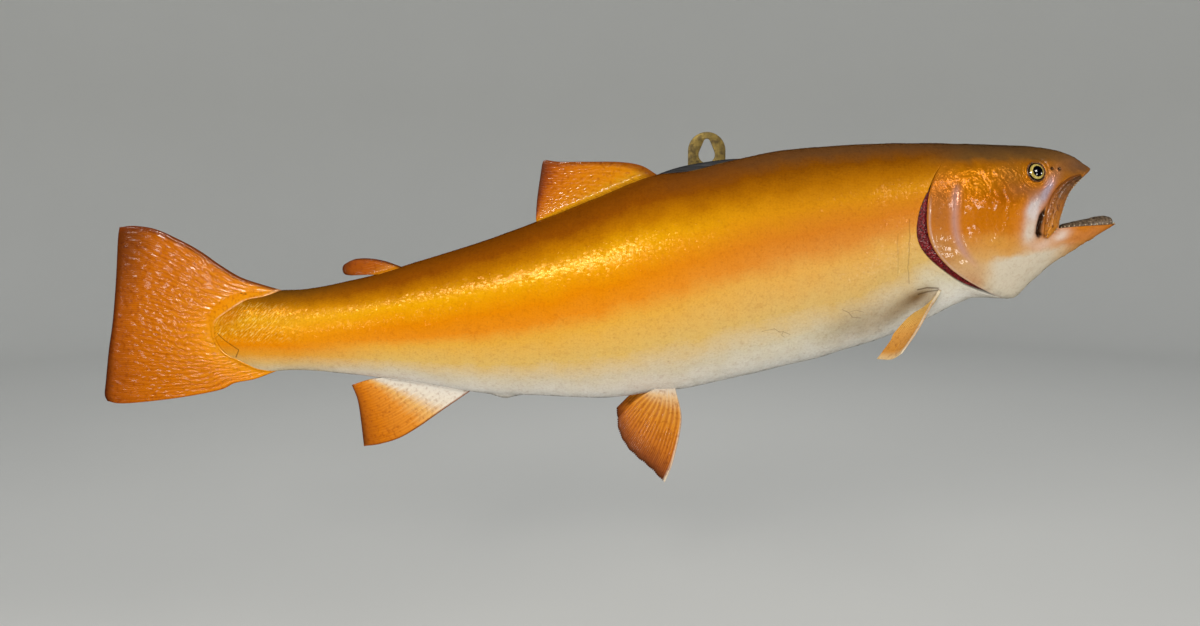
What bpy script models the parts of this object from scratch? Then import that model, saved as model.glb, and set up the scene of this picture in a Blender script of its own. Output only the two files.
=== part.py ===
"""A golden rainbow trout, mounted for a wall on a dark wooden board, with its hanger.

Metres. +X points to the fish's head and +Z up. The wall is the plane y = 0, and the
fish hangs in front of it, at negative y, with its right side to the room. The origin
lies on the back of the board."""

import math

import bmesh
import bpy
import numpy as np
from mathutils import Vector

# ---- driving dimensions ------------------------------------------------------
GAP = 0.0003                  # left between solids that touch
OVERRUN = 0.004               # how far a cutter reaches past the face it opens
SHARP_ANGLE = math.radians(35)    # edges sharper than this are not shaded smooth
MIDPLANE_Y = -0.046           # the fish's plane of symmetry
BOARD_THICKNESS = 0.012
FLAT_Y = -BOARD_THICKNESS - GAP   # the fish's left side is flat where the board meets it

SIDE_POINTS = 15              # points from back to belly on one side of a body ring
FULLNESS = 0.94               # 1 gives an elliptic section, less a fuller one
RING_BEND = 2.5               # how late a leaning ring turns towards back and belly

# Body stations, each a ring round the fish. The columns are the x of its widest point,
# how far its top and its bottom lean forward of that, the z of the back, of the widest
# point and of the belly, and the half width.
STATIONS = {
    "tail root":      (-0.3465, 0.0245, 0.0275, -0.0125, -0.0380, -0.0740, 0.0032),
    "tail wrist":     (-0.3200, 0.0120, 0.0120, -0.0138, -0.0420, -0.0748, 0.0100),
    "narrowest":      (-0.2860, 0.0000, 0.0000, -0.0132, -0.0430, -0.0733, 0.0145),
    "adipose fin":    (-0.2380, 0.0000, 0.0000, -0.0050, -0.0385, -0.0771, 0.0198),
    "anal fin":       (-0.1920, 0.0000, 0.0000, 0.0083, -0.0310, -0.0830, 0.0250),
    "vent":           (-0.1420, 0.0000, 0.0000, 0.0240, -0.0225, -0.0908, 0.0315),
    "dorsal rear":    (-0.1060, 0.0000, 0.0000, 0.0372, -0.0170, -0.0921, 0.0362),
    "dorsal middle":  (-0.0600, 0.0000, 0.0000, 0.0556, -0.0110, -0.0940, 0.0402),
    "dorsal front":   (-0.0165, 0.0000, 0.0000, 0.0716, -0.0060, -0.0893, 0.0423),
    "hanger":         (0.0040, 0.0000, 0.0000, 0.0737, -0.0025, -0.0868, 0.0428),
    "pelvic front":   (0.0300, 0.0000, 0.0000, 0.0800, 0.0015, -0.0811, 0.0430),
    "deep of trunk":  (0.0760, 0.0000, 0.0000, 0.0893, 0.0100, -0.0702, 0.0420),
    "nape":           (0.1160, 0.0000, 0.0000, 0.0926, 0.0200, -0.0595, 0.0400),
    "shoulder":       (0.1310, 0.0070, 0.0140, 0.0936, 0.0265, -0.0508, 0.0388),
    "pectoral fin":   (0.1460, 0.0170, 0.0350, 0.0942, 0.0330, -0.0354, 0.0370),
    "breast":         (0.1600, 0.0240, 0.0590, 0.0942, 0.0395, -0.0186, 0.0356),
    "gill opening":   (0.1715, 0.0285, 0.0665, 0.0937, 0.0440, -0.0195, 0.0345),
    "throat":         (0.1840, 0.0250, 0.0612, 0.0936, 0.0460, -0.0192, 0.0334),
    "cheek":          (0.2060, 0.0160, 0.0540, 0.0932, 0.0465, -0.0064, 0.0310),
    "behind the eye": (0.2360, 0.0090, 0.0420, 0.0925, 0.0450, 0.0090, 0.0255),
    "under the eye":  (0.2540, 0.0110, 0.0400, 0.0905, 0.0395, 0.0193, 0.0215),
    "snout":          (0.2655, 0.0180, 0.0440, 0.0857, 0.0345, 0.0290, 0.0192),
    "mouth rim":      (0.2706, 0.0276, 0.0489, 0.0762, 0.0318, 0.0354, 0.0180),
}

# The rings that the solids are built on, by the x of their widest point.
STALK_FRONT = -0.2218         # the tail stalk ends and the trunk starts, behind the anal fin
STALK_RINGS = 8
TRUNK_RINGS = 15
NAPE_X = 0.1160               # from here forward the rings start to lean
SHOULDER_RINGS = (0.1310, 0.1460, 0.1600)
GILL_X = 0.1715
HEAD_RINGS = (0.1780, 0.1840, 0.1950, 0.2060, 0.2210, 0.2360, 0.2450, 0.2540, 0.2600, 0.2655, 0.2685)
MOUTH_X = 0.2706

# The gill opening is as wide as a long even slit and a shorter bulge together. Each has
# its width, the turn of its middle, its reach in radians and how squarely it ends.
GILL_SLIT = (0.0036, 2.10, 0.80, 8)
GILL_BULGE = (0.0041, 1.84, 0.42, 2)
GILL_RECESS = 0.0022          # how far the gills lie below the skin
COVER_FRONT_X = 0.1915        # crease where the gill cover meets the cheek
COVER_TOP_POINT, COVER_BOTTOM_POINT = 4, 13   # ring points at the ends of the cover's margin
COVER_THICKNESS = 0.0035
COVER_EASE = 30               # radians of the ring, for each metre of gap, round the cover

LIP = 0.0020
MOUTH_RINGS = 7
GULLET = Vector((0.2580, 0.0, 0.0440))     # x and z of the gullet, where the mouth ends
GULLET_HALF_WIDTH, GULLET_HALF_HEIGHT = 0.0090, 0.0080
PALATE_ARCH, FLOOR_SAG, SIDE_SWELL = 0.0060, 0.0080, 0.0015
JAW_HINGE = (0.2665, 0.0285)  # x and z of the mouth's corner, where the jaw parts from the head
JAW_THROAT = (0.2570, -0.0200)
JAW_PARTING = (0.330, 0.100)  # the cut runs from the mouth's corner towards here
JAW_LIMIT_X, JAW_LIMIT_WIDTH = 0.340, 0.050   # clear of the jaw's tip and of its sides
TONGUE_BACK, TONGUE_TIP = 0.2800, 0.3165
TONGUE_TOP, TONGUE_HALF_WIDTH = 0.0405, 0.0060
TONGUE_RINGS, TONGUE_SIDES = 8, 10

EYE_AT = (0.2527, 0.0732)     # x and z
EYE_RADIUS, EYE_DEPTH, EYE_SINK = 0.0070, 0.0046, 0.0015
EYE_SEGMENTS, EYE_RINGS = 20, 12

# The upper jaw's side plate: x, z and half width from the snout down to the mouth's corner.
MAXILLA_LINE = (
    (0.2880, 0.0704, 0.0016),
    (0.2790, 0.0655, 0.0036),
    (0.2708, 0.0560, 0.0058),
    (0.2660, 0.0445, 0.0066),
    (0.2635, 0.0345, 0.0060),
    (0.2612, 0.0262, 0.0020),
)
MAXILLA_THICKNESS = 0.0018
MAXILLA_ROWS = 9

FIN_ROWS = 7                  # points along each fin ray
FIN_THICKNESS = {             # at the root and at the free edge
    "dorsal": (0.0028, 0.0010), "adipose": (0.0036, 0.0018), "anal": (0.0030, 0.0010),
    "tail": (0.0046, 0.0012), "pelvic": (0.0026, 0.0010), "pectoral right": (0.0020, 0.0010),
    "pectoral left": (0.0026, 0.0010),
}

HANGER_X = 0.0231
HANGER_WIDTH, HANGER_TOP, HANGER_BOTTOM = 0.0288, 0.1041, 0.0560
HANGER_THICKNESS = 0.0015
KEYHOLE_Z, KEYHOLE_RADIUS = 0.0868, 0.0063
SLOT_Z, SLOT_RADIUS = 0.0963, 0.0026
SCREW_Z, SCREW_SPREAD, SCREW_RADIUS, SCREW_LENGTH = 0.0655, 0.0160, 0.0026, 0.0090
BOARD_BEVEL = 0.0015
BEVEL_ANGLE = math.radians(60)    # board edges sharper than this are eased

# Round the board's outline, x and z, from its tail end over the top.
BOARD_OUTLINE = (
    (-0.1500, -0.0280), (-0.1330, 0.0050), (-0.0900, 0.0330), (-0.0450, 0.0560), (-0.0111, 0.0731),
    (0.0200, 0.0808), (0.0550, 0.0835), (0.1050, 0.0780), (0.1480, 0.0560), (0.1580, 0.0250),
    (0.1400, -0.0100), (0.0850, -0.0410), (0.0150, -0.0610), (-0.0600, -0.0700), (-0.1200, -0.0620),
)


# ---- the fish's surface --------------------------------------------------------
def smooth_slopes(places, values):
    """Slopes for a smooth curve that never swings past its own stations."""
    steps = np.diff(places)
    rises = np.diff(values) / steps
    slopes = np.zeros(len(values))
    slopes[0], slopes[-1] = rises[0], rises[-1]
    for i in range(1, len(values) - 1):
        if rises[i - 1] * rises[i] > 0:
            before = 2 * steps[i] + steps[i - 1]
            after = steps[i] + 2 * steps[i - 1]
            slopes[i] = (before + after) / (before / rises[i - 1] + after / rises[i])
    return slopes


STATION_TABLE = np.array(list(STATIONS.values()))
STATION_X = STATION_TABLE[:, 0]
STATION_SLOPES = np.array([smooth_slopes(STATION_X, column) for column in STATION_TABLE[:, 1:].T]).T


def measures(side_x):
    """Leans, heights and half width of the ring whose widest point is at side_x."""
    side_x = min(max(side_x, STATION_X[0]), STATION_X[-1])
    i = min(max(int(np.searchsorted(STATION_X, side_x, side="right")) - 1, 0), len(STATION_X) - 2)
    step = STATION_X[i + 1] - STATION_X[i]
    t = (side_x - STATION_X[i]) / step
    return ((1 + 2 * t) * (1 - t) ** 2 * STATION_TABLE[i, 1:]
            + t * (1 - t) ** 2 * step * STATION_SLOPES[i]
            + t * t * (3 - 2 * t) * STATION_TABLE[i + 1, 1:]
            + t * t * (t - 1) * step * STATION_SLOPES[i + 1])


def body_point(side_x, turn):
    """Point of the skin: turn is 0 on the back, pi on the belly, past pi on the left side."""
    back_lean, belly_lean, back, side, belly, half_width = measures(side_x)
    height, width = math.cos(turn), math.sin(turn)
    lean, edge = (back_lean, back) if height >= 0 else (belly_lean, belly)
    y = MIDPLANE_Y - math.copysign(half_width * abs(width) ** FULLNESS, width)
    return Vector((side_x + lean * abs(height) ** RING_BEND,
                   min(y, FLAT_Y),
                   side + (edge - side) * abs(height)))


def skin_place(x, z):
    """The ring and the turn, on the right side, of the skin point at a given x and z."""
    low, high = STATION_X[0], MOUTH_X
    for _ in range(40):
        side_x = (low + high) / 2
        back_lean, belly_lean, back, side, belly, _half = measures(side_x)
        lean, edge = (back_lean, back) if z >= side else (belly_lean, belly)
        height = min(abs((z - side) / (edge - side)), 1.0)
        if side_x + lean * height ** RING_BEND < x:
            low = side_x
        else:
            high = side_x
    return side_x, math.acos(math.copysign(height, z - side))


def skin_normal(side_x, turn):
    """Outward direction of the skin."""
    step = 0.0005
    along = body_point(side_x + step, turn) - body_point(side_x - step, turn)
    round_about = body_point(side_x, turn + 0.01) - body_point(side_x, turn - 0.01)
    return along.cross(round_about).normalized() * -1


def side_turns():
    return [math.pi * j / (SIDE_POINTS - 1) for j in range(SIDE_POINTS)]


def ring_points(side_x, shift=lambda turn: 0.0):
    """A closed ring of skin points; shift moves each of them along x."""
    turns = side_turns()
    turns += [2 * math.pi - turn for turn in reversed(turns[1:-1])]
    return [body_point(side_x, turn) + Vector((shift(turn), 0, 0)) for turn in turns]


def stalk_rings():
    return list(np.linspace(STATION_X[0], -0.3200, 3)) + list(np.linspace(-0.3030, STALK_FRONT, STALK_RINGS - 3))


def trunk_rings():
    return list(np.linspace(STALK_FRONT, NAPE_X, TRUNK_RINGS)) + list(SHOULDER_RINGS)


def body_edge(x, belly=False):
    """Height of the faceted back or belly line over x."""
    rings = stalk_rings() + trunk_rings()[1:]
    lean, height = (1, 4) if belly else (0, 2)
    points = [(side_x + measures(side_x)[lean], measures(side_x)[height]) for side_x in rings]
    return float(np.interp(x, *zip(*points)))


# ---- mesh tools ----------------------------------------------------------------
def new_object(name, mesh_builder, material):
    """Object from a bmesh, its faces turned outward, shaded smooth, with one material."""
    bmesh.ops.remove_doubles(mesh_builder, verts=mesh_builder.verts, dist=1e-7)
    bmesh.ops.recalc_face_normals(mesh_builder, faces=mesh_builder.faces)
    mesh = bpy.data.meshes.new(name)
    mesh_builder.to_mesh(mesh)
    mesh_builder.free()
    mesh.shade_smooth()
    mesh.set_sharp_from_angle(angle=SHARP_ANGLE)
    obj = bpy.data.objects.new(name, mesh)
    bpy.context.collection.objects.link(obj)
    if material:
        mesh.materials.append(material)
    return obj


def loft(rings, cap_start=True, cap_end=True):
    """Skin closed rings together; a cap is ruled straight across the fish, side to side."""
    builder = bmesh.new()
    rows = [[builder.verts.new(point) for point in ring] for ring in rings]
    for lower, upper in zip(rows, rows[1:]):
        for j in range(len(lower)):
            k = (j + 1) % len(lower)
            builder.faces.new((lower[j], lower[k], upper[k], upper[j]))
    for row, wanted in ((rows[0], cap_start), (rows[-1], cap_end)):
        if wanted:
            rule_across(builder, row)
    return builder


def rule_across(builder, row):
    """Fill a ring whose points face each other in pairs across the fish."""
    count = len(row)
    for j in range(count // 2):
        corners = (row[j], row[j + 1], row[-j - 1], row[(-j) % count])
        builder.faces.new(list(dict.fromkeys(corners)))


def grid_shell(outer, inner):
    """Close two grids of points of the same size into one shell."""
    builder = bmesh.new()
    grids = [[[builder.verts.new(point) for point in row] for row in grid] for grid in (outer, inner)]
    rows, columns = len(outer), len(outer[0])
    for grid in grids:
        for i in range(rows - 1):
            for j in range(columns - 1):
                builder.faces.new((grid[i][j], grid[i][j + 1], grid[i + 1][j + 1], grid[i + 1][j]))
    rim = [(i, 0) for i in range(rows)] + [(rows - 1, j) for j in range(1, columns)]
    rim += [(i, columns - 1) for i in range(rows - 2, -1, -1)] + [(0, j) for j in range(columns - 2, 0, -1)]
    for (i, j), (k, m) in zip(rim, rim[1:] + rim[:1]):
        builder.faces.new((grids[0][i][j], grids[0][k][m], grids[1][k][m], grids[1][i][j]))
    return builder


def prism(outline, y_front, y_back):
    """Solid between two planes of constant y, from an outline of x and z."""
    builder = bmesh.new()
    ends = [[builder.verts.new((x, y, z)) for x, z in outline] for y in (y_front, y_back)]
    builder.faces.new(ends[0])
    builder.faces.new(ends[1])
    for j in range(len(outline)):
        k = (j + 1) % len(outline)
        builder.faces.new((ends[0][j], ends[0][k], ends[1][k], ends[1][j]))
    return builder


def boolean(obj, cutter, operation="DIFFERENCE"):
    """Cut an object with another, which then stays in the file as a wire guide."""
    cutter.hide_render = True
    cutter.display_type = "WIRE"
    modifier = obj.modifiers.new(cutter.name, "BOOLEAN")
    modifier.operation = operation
    modifier.solver = "EXACT"
    modifier.object = cutter


def mirrored(point):
    """The same point on the fish's other side."""
    return Vector((point.x, 2 * MIDPLANE_Y - point.y, point.z))


def spline(points, count, closed=False):
    """Evenly numbered points of a smooth curve through the given ones."""
    points = [Vector(point) for point in points]
    last = len(points) if closed else len(points) - 1
    result = []
    for step in range(count):
        place = last * step / (count if closed else count - 1)
        i = min(int(place), last - 1)
        t = place - i
        if closed:
            before, start, end, after = (points[(i + k) % len(points)] for k in (-1, 0, 1, 2))
        else:
            start, end = points[i], points[i + 1]
            before = points[i - 1] if i > 0 else 2 * start - end
            after = points[i + 2] if i + 2 < len(points) else 2 * end - start
        result.append(0.5 * (2 * start + (end - before) * t
                             + (2 * before - 5 * start + 4 * end - after) * t ** 2
                             + (3 * start - before - 3 * end + after) * t ** 3))
    return result


def at_fraction(points, fraction):
    """Point at a fraction of a polyline's length."""
    lengths = [0.0]
    for start, end in zip(points, points[1:]):
        lengths.append(lengths[-1] + (end - start).length)
    wanted = fraction * lengths[-1]
    return Vector([float(np.interp(wanted, lengths, [point[axis] for point in points])) for axis in range(3)])


def ray_sheet(base, free, front, rear):
    """Grid of points spread between a fin's four edges; each column is one ray."""
    lengths = [0.0]
    for start, end in zip(base, base[1:]):
        lengths.append(lengths[-1] + (end - start).length)
    grid = []
    for i in range(FIN_ROWS):
        t = i / (FIN_ROWS - 1)
        row = []
        for place, root in zip(lengths, base):
            s = place / lengths[-1]
            blend = (1 - t) * root + t * at_fraction(free, s)
            blend += (1 - s) * at_fraction(front, t) + s * at_fraction(rear, t)
            corners = (1 - t) * ((1 - s) * base[0] + s * base[-1]) + t * ((1 - s) * free[0] + s * free[-1])
            row.append(blend - corners)
        grid.append(row)
    return grid


def fin(name, material, base, free, front, rear, root_thickness, edge_thickness):
    """A fin as a thin plate that tapers from its root to its edge."""
    sheet = ray_sheet(base, free, front, rear)
    sides = ([], [])
    for i, row in enumerate(sheet):
        t = i / (FIN_ROWS - 1)
        half = ((1 - t) * root_thickness + t * edge_thickness) / 2
        for side, sign in zip(sides, (-1, 1)):
            side.append([point + sign * half * sheet_normal(sheet, i, j) for j, point in enumerate(row)])
    return new_object(name, grid_shell(*sides), material)


def sheet_normal(sheet, i, j):
    """Direction square to a fin's sheet at one of its points."""
    rows, columns = len(sheet), len(sheet[0])
    along = sheet[min(i + 1, rows - 1)][j] - sheet[max(i - 1, 0)][j]
    across = sheet[i][min(j + 1, columns - 1)] - sheet[i][max(j - 1, 0)]
    return along.cross(across).normalized()


def in_midplane(points):
    return [Vector((x, MIDPLANE_Y, z)) for x, z in points]


# ---- materials -----------------------------------------------------------------
def material(name, color, roughness, metallic=0.0):
    result = bpy.data.materials.new(name)
    result.use_nodes = True
    shader = result.node_tree.nodes["Principled BSDF"]
    shader.inputs["Base Color"].default_value = (*color, 1)
    shader.inputs["Roughness"].default_value = roughness
    shader.inputs["Metallic"].default_value = metallic
    return result


# ---- the fish ------------------------------------------------------------------
def make_trunk_and_stalk(skin):
    half_gap = GAP / 2
    stalk = [ring_points(side_x) for side_x in stalk_rings()[:-1]]
    stalk.append(ring_points(STALK_FRONT, lambda turn: -half_gap))
    new_object("tail_stalk", loft(stalk), skin)
    trunk = [ring_points(STALK_FRONT, lambda turn: half_gap)]
    trunk += [ring_points(side_x) for side_x in trunk_rings()[1:]]
    trunk.append(ring_points(GILL_X, lambda turn: -GAP - gape(turn)))
    new_object("trunk", loft(trunk), skin)


def gape(turn):
    """Width of the gill opening round the body; it closes at the nape and the throat."""
    side_turn = min(turn, 2 * math.pi - turn)
    return sum(width * math.exp(-abs((side_turn - middle) / reach) ** squareness)
               for width, middle, reach, squareness in (GILL_SLIT, GILL_BULGE))


def make_gills(red):
    """The gills fill the opening between trunk and head, a little below the skin."""
    turns = [turn for turn in side_turns() if gape(turn) > 3 * GAP]
    rims = []
    for place in (1, 0):
        rim = []
        for turn in turns:
            point = body_point(GILL_X, turn)
            point.y += GILL_RECESS
            point.x -= GAP + (gape(turn) - GAP) * place
            rim.append(point)
        rims.append(rim + [mirrored(point) for point in reversed(rim)])
    builder = bmesh.new()
    rows = [[builder.verts.new(point) for point in rim] for rim in rims]
    count = len(rows[0])
    for j in range(count):
        k = (j + 1) % count
        builder.faces.new((rows[0][j], rows[0][k], rows[1][k], rows[1][j]))
    for row in rows:
        for j in range(count // 2 - 1):
            builder.faces.new((row[j], row[j + 1], row[count - 2 - j], row[count - 1 - j]))
    new_object("gills", builder, red)


def mouth_lining():
    """Rings from the lips to the gullet."""
    rings = []
    for step in range(MOUTH_RINGS):
        t = step / (MOUTH_RINGS - 1)
        ring = []
        turns = side_turns()
        turns += [2 * math.pi - turn for turn in reversed(turns[1:-1])]
        for turn in turns:
            height, width = math.cos(turn), math.sin(turn)
            lip = body_point(MOUTH_X, turn)
            lip += Vector((-0.4 * LIP, LIP * width, -LIP * height if height > 0 else 0.0))
            throat = Vector((GULLET.x, MIDPLANE_Y - GULLET_HALF_WIDTH * width,
                             GULLET.z + GULLET_HALF_HEIGHT * height))
            swell = 4 * t * (1 - t)
            hollow = (PALATE_ARCH if height > 0 else FLOOR_SAG) * height * swell
            ring.append(lip.lerp(throat, t) + Vector((0, -SIDE_SWELL * width * swell, hollow)))
        rings.append(ring)
    return rings


def whole_head():
    """Skin from the gill opening to the lips, and the mouth's lining, as one closed loft."""
    rings = [ring_points(GILL_X, lambda turn: 0.0)]
    rings += [ring_points(side_x) for side_x in HEAD_RINGS]
    rings.append(ring_points(MOUTH_X))
    return loft(rings + mouth_lining())


def jaw_cutter(name, margin):
    """The space of the lower jaw, seen from the side, grown or shrunk by a margin."""
    hinge, throat = JAW_HINGE, JAW_THROAT
    outline = ((hinge[0] - margin, hinge[1] + margin), (JAW_PARTING[0] - margin, JAW_PARTING[1] + margin),
               (JAW_LIMIT_X, throat[1]), (throat[0] - margin, throat[1]))
    return new_object(name, prism(outline, MIDPLANE_Y - JAW_LIMIT_WIDTH, MIDPLANE_Y + JAW_LIMIT_WIDTH), None)


def cover_shell(name, side, margin, inner, outer, material=None):
    """Curved slab of the gill cover between two depths in the head's side."""
    places = np.linspace(GILL_X - 4 * margin, COVER_FRONT_X + margin, 4)
    turns = side_turns()[COVER_TOP_POINT:COVER_BOTTOM_POINT + 1]
    turns[0] -= COVER_EASE * margin
    turns[-1] += COVER_EASE * margin
    grids = []
    for depth in (outer, inner):
        grid = []
        for side_x in places:
            row = [body_point(side_x, turn) + Vector((0, depth, 0)) for turn in turns]
            grid.append(row if side > 0 else [mirrored(point) for point in row])
        grids.append(grid)
    return new_object(name, grid_shell(*grids), material)


def eye_ball(name, side, grow, material=None):
    """Flattened ball set into the head, its short axis square to the skin."""
    side_x, turn = skin_place(*EYE_AT)
    outward = skin_normal(side_x, turn)
    centre = body_point(side_x, turn) - outward * EYE_SINK
    if side < 0:
        centre = mirrored(centre)
        outward = Vector((outward.x, -outward.y, outward.z))
    builder = bmesh.new()
    bmesh.ops.create_uvsphere(builder, u_segments=EYE_SEGMENTS, v_segments=EYE_RINGS, radius=1.0)
    turn_outward = Vector((0, 0, 1)).rotation_difference(outward).to_matrix()
    for vertex in builder.verts:
        shape = Vector((vertex.co.x * (EYE_RADIUS + grow), vertex.co.y * (EYE_RADIUS + grow),
                        vertex.co.z * (EYE_DEPTH + grow)))
        vertex.co = centre + turn_outward @ shape
    return new_object(name, builder, material)


def make_head(skin, cover_colour, eye_colour):
    head = new_object("head", whole_head(), skin)
    jaw = new_object("lower_jaw", whole_head(), skin)
    boolean(head, jaw_cutter("cut_head_at_jaw", GAP))
    boolean(jaw, jaw_cutter("cut_jaw_from_head", 0.0), "INTERSECT")
    for side, word in ((1, "right"), (-1, "left")):
        boolean(head, cover_shell("cut_cover_" + word, side, 2 * GAP, COVER_THICKNESS + GAP, -OVERRUN))
        cover_shell("gill_cover_" + word, side, 0.0, COVER_THICKNESS, 0.0, cover_colour)
        boolean(head, eye_ball("cut_eye_" + word, side, GAP))
        eye_ball("eye_" + word, side, 0.0, eye_colour)


def make_maxilla(name, side, colour):
    """Blade along the upper lip, lying on the head's skin."""
    line = spline([(x, 0, z) for x, z, _half in MAXILLA_LINE], MAXILLA_ROWS)
    widths = spline([(half, 0, 0) for _x, _z, half in MAXILLA_LINE], MAXILLA_ROWS)
    grids = ([], [])
    for i, (centre, width) in enumerate(zip(line, widths)):
        run = line[min(i + 1, len(line) - 1)] - line[max(i - 1, 0)]
        across = Vector((run.z, 0, -run.x)).normalized()
        rows = ([], [])
        for share in (-1, -0.5, 0, 0.5, 1):
            place = centre + across * width.x * share
            skin = body_point(*skin_place(place.x, place.z))
            crown = MAXILLA_THICKNESS * (1 - 0.5 * share * share)
            for row, rise in zip(rows, (crown, 0.0)):
                point = Vector((place.x, skin.y - 2 * GAP - rise, place.z))
                row.append(point if side > 0 else mirrored(point))
        grids[0].append(rows[0])
        grids[1].append(rows[1])
    new_object(name, grid_shell(*grids), colour)


def make_tongue(colour):
    """Rounded bar on the floor of the mouth, with a blunt raised tip."""
    lining = mouth_lining()
    belly = len(side_turns()) - 1
    floor = sorted((ring[belly].x, ring[belly].z) for ring in lining)
    rings = []
    for step in range(TONGUE_RINGS):
        t = step / (TONGUE_RINGS - 1)
        x = TONGUE_BACK + (TONGUE_TIP - TONGUE_BACK) * math.sin(t * math.pi / 2)
        bottom = float(np.interp(x, *zip(*floor))) + 3 * GAP
        blunt = math.sqrt(max(1 - t ** 6, 0.02))
        top = bottom + (TONGUE_TOP - bottom) * (0.45 + 0.55 * t) * blunt
        half_width = TONGUE_HALF_WIDTH * blunt
        ring = []
        for j in range(TONGUE_SIDES):
            turn = 2 * math.pi * j / TONGUE_SIDES
            height = 0.5 + 0.5 * math.cos(turn)
            ring.append(Vector((x, MIDPLANE_Y - half_width * math.sin(turn), bottom + (top - bottom) * height)))
        rings.append(ring)
    new_object("tongue", loft(rings), colour)


# ---- the fins ------------------------------------------------------------------
def edge_base(x_front, x_rear, belly, count=9):
    """Root of a fin along the back or the belly."""
    clearance = -1.5 * GAP if belly else 1.5 * GAP
    return in_midplane((x, body_edge(x, belly) + clearance) for x in np.linspace(x_front, x_rear, count))


def make_dorsal_fin(colour):
    base = edge_base(-0.0175, -0.1060, belly=False, count=13)
    front = spline(in_midplane([(-0.0175, base[0].z), (-0.0290, 0.0780), (-0.0450, 0.0806),
                                (-0.0700, 0.0808), (-0.0890, 0.0808), (-0.0985, 0.0820)]), 12)
    rear = [base[-1], Vector((-0.1062, MIDPLANE_Y, base[-1].z + 0.0030))]
    free = spline(in_midplane([(-0.0985, 0.0820), (-0.1010, 0.0800), (-0.1032, 0.0675), (-0.1053, 0.0530),
                               (-0.1062, base[-1].z + 0.0030)]), 12)
    fin("dorsal_fin", colour, base, free, front, rear, *FIN_THICKNESS["dorsal"])


def make_adipose_fin(colour):
    base = edge_base(-0.2060, -0.2260, belly=False, count=7)
    front = spline(in_midplane([(-0.2060, base[0].z), (-0.2179, 0.0081), (-0.2290, 0.0100),
                                (-0.2385, 0.0098), (-0.2440, 0.0080)]), 9)
    rear = spline(in_midplane([(-0.2260, base[-1].z), (-0.2340, -0.0022), (-0.2430, -0.0026)]), 9)
    free = spline(in_midplane([(-0.2440, 0.0080), (-0.2485, 0.0050), (-0.2493, 0.0010), (-0.2475, -0.0018),
                               (-0.2430, -0.0026)]), 9)
    fin("adipose_fin", colour, base, free, front, rear, *FIN_THICKNESS["adipose"])


def make_anal_fin(colour):
    base = edge_base(-0.1560, -0.2230, belly=True, count=11)
    front = spline(in_midplane([(-0.1560, base[0].z), (-0.1793, -0.1054), (-0.1945, -0.1162),
                                (-0.2098, -0.1252), (-0.2250, -0.1300), (-0.2370, -0.1316)]), 12)
    rear = spline(in_midplane([(-0.2230, base[-1].z), (-0.2340, -0.0812), (-0.2448, -0.0848)]), 6)
    free = spline(in_midplane([(-0.2370, -0.1316), (-0.2388, -0.1116), (-0.2408, -0.0963),
                               (-0.2448, -0.0848)]), 12)
    fin("anal_fin", colour, base, free, front, rear, *FIN_THICKNESS["anal"])


def make_tail_fin(colour):
    """The tail fin grips the end of the stalk, and its first rays lie above and below it."""
    back_x, belly_x = -0.2950, -0.3010
    end = ring_points(STATION_X[0])[:SIDE_POINTS]
    base = [Vector((x, MIDPLANE_Y, body_edge(x) + 1.5 * GAP)) for x in (back_x, -0.3030, -0.3120)]
    base.append(Vector((end[0].x, MIDPLANE_Y, end[0].z + 1.5 * GAP)))
    base += [Vector((point.x - 1.5 * GAP, MIDPLANE_Y, point.z)) for point in end[1:-1]]
    base.append(Vector((end[-1].x, MIDPLANE_Y, end[-1].z - 1.5 * GAP)))
    base += [Vector((x, MIDPLANE_Y, body_edge(x, True) - 1.5 * GAP)) for x in (-0.3120, belly_x)]
    front = spline(in_midplane([(back_x, base[0].z), (-0.3108, -0.0089), (-0.3254, -0.0037), (-0.3398, 0.0052),
                                (-0.3541, 0.0155), (-0.3685, 0.0236), (-0.3865, 0.0317), (-0.4020, 0.0340),
                                (-0.4125, 0.0330)]), 16)
    rear = spline(in_midplane([(belly_x, base[-1].z), (-0.3172, -0.0803), (-0.3323, -0.0833),
                               (-0.3438, -0.0886), (-0.3740, -0.0944), (-0.4040, -0.0980),
                               (-0.4200, -0.0988), (-0.4285, -0.0970)]), 16)
    free = spline(in_midplane([(-0.4125, 0.0330), (-0.4142, 0.0236), (-0.4172, -0.0059), (-0.4211, -0.0358),
                               (-0.4253, -0.0583), (-0.4287, -0.0810), (-0.4302, -0.0920),
                               (-0.4285, -0.0970)]), 20)
    fin("tail_fin", colour, base, free, front, rear, *FIN_THICKNESS["tail"])


def off_skin(x, z, distance=2.5 * GAP):
    """Point a little outside the right side's skin, above the given x and z."""
    side_x, turn = skin_place(x, z)
    return body_point(side_x, turn) + skin_normal(side_x, turn) * distance


def make_pelvic_fins(colour):
    height = -0.0858
    base = [off_skin(x, height) for x in np.linspace(-0.0035, -0.0210, 6)]
    tip, heel = Vector((-0.0123, -0.0790, -0.1509)), Vector((-0.0467, -0.0650, -0.1066))
    front = spline([base[0], (0.0004, -0.0640, -0.1016), (-0.0002, -0.0680, -0.1141),
                    (-0.0059, -0.0750, -0.1362), tip], 10)
    free = spline([tip, (-0.0228, -0.0760, -0.1405), (-0.0315, -0.0740, -0.1336), (-0.0394, -0.0710, -0.1261),
                   (-0.0452, -0.0680, -0.1157), heel], 12)
    rear = spline([base[-1], (-0.0334, -0.0620, -0.0930), heel], 8)
    edges = (base, free, front, rear)
    fin("pelvic_fin_right", colour, *edges, *FIN_THICKNESS["pelvic"])
    fin("pelvic_fin_left", colour, *([mirrored(point) for point in edge] for edge in edges),
        *FIN_THICKNESS["pelvic"])


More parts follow.
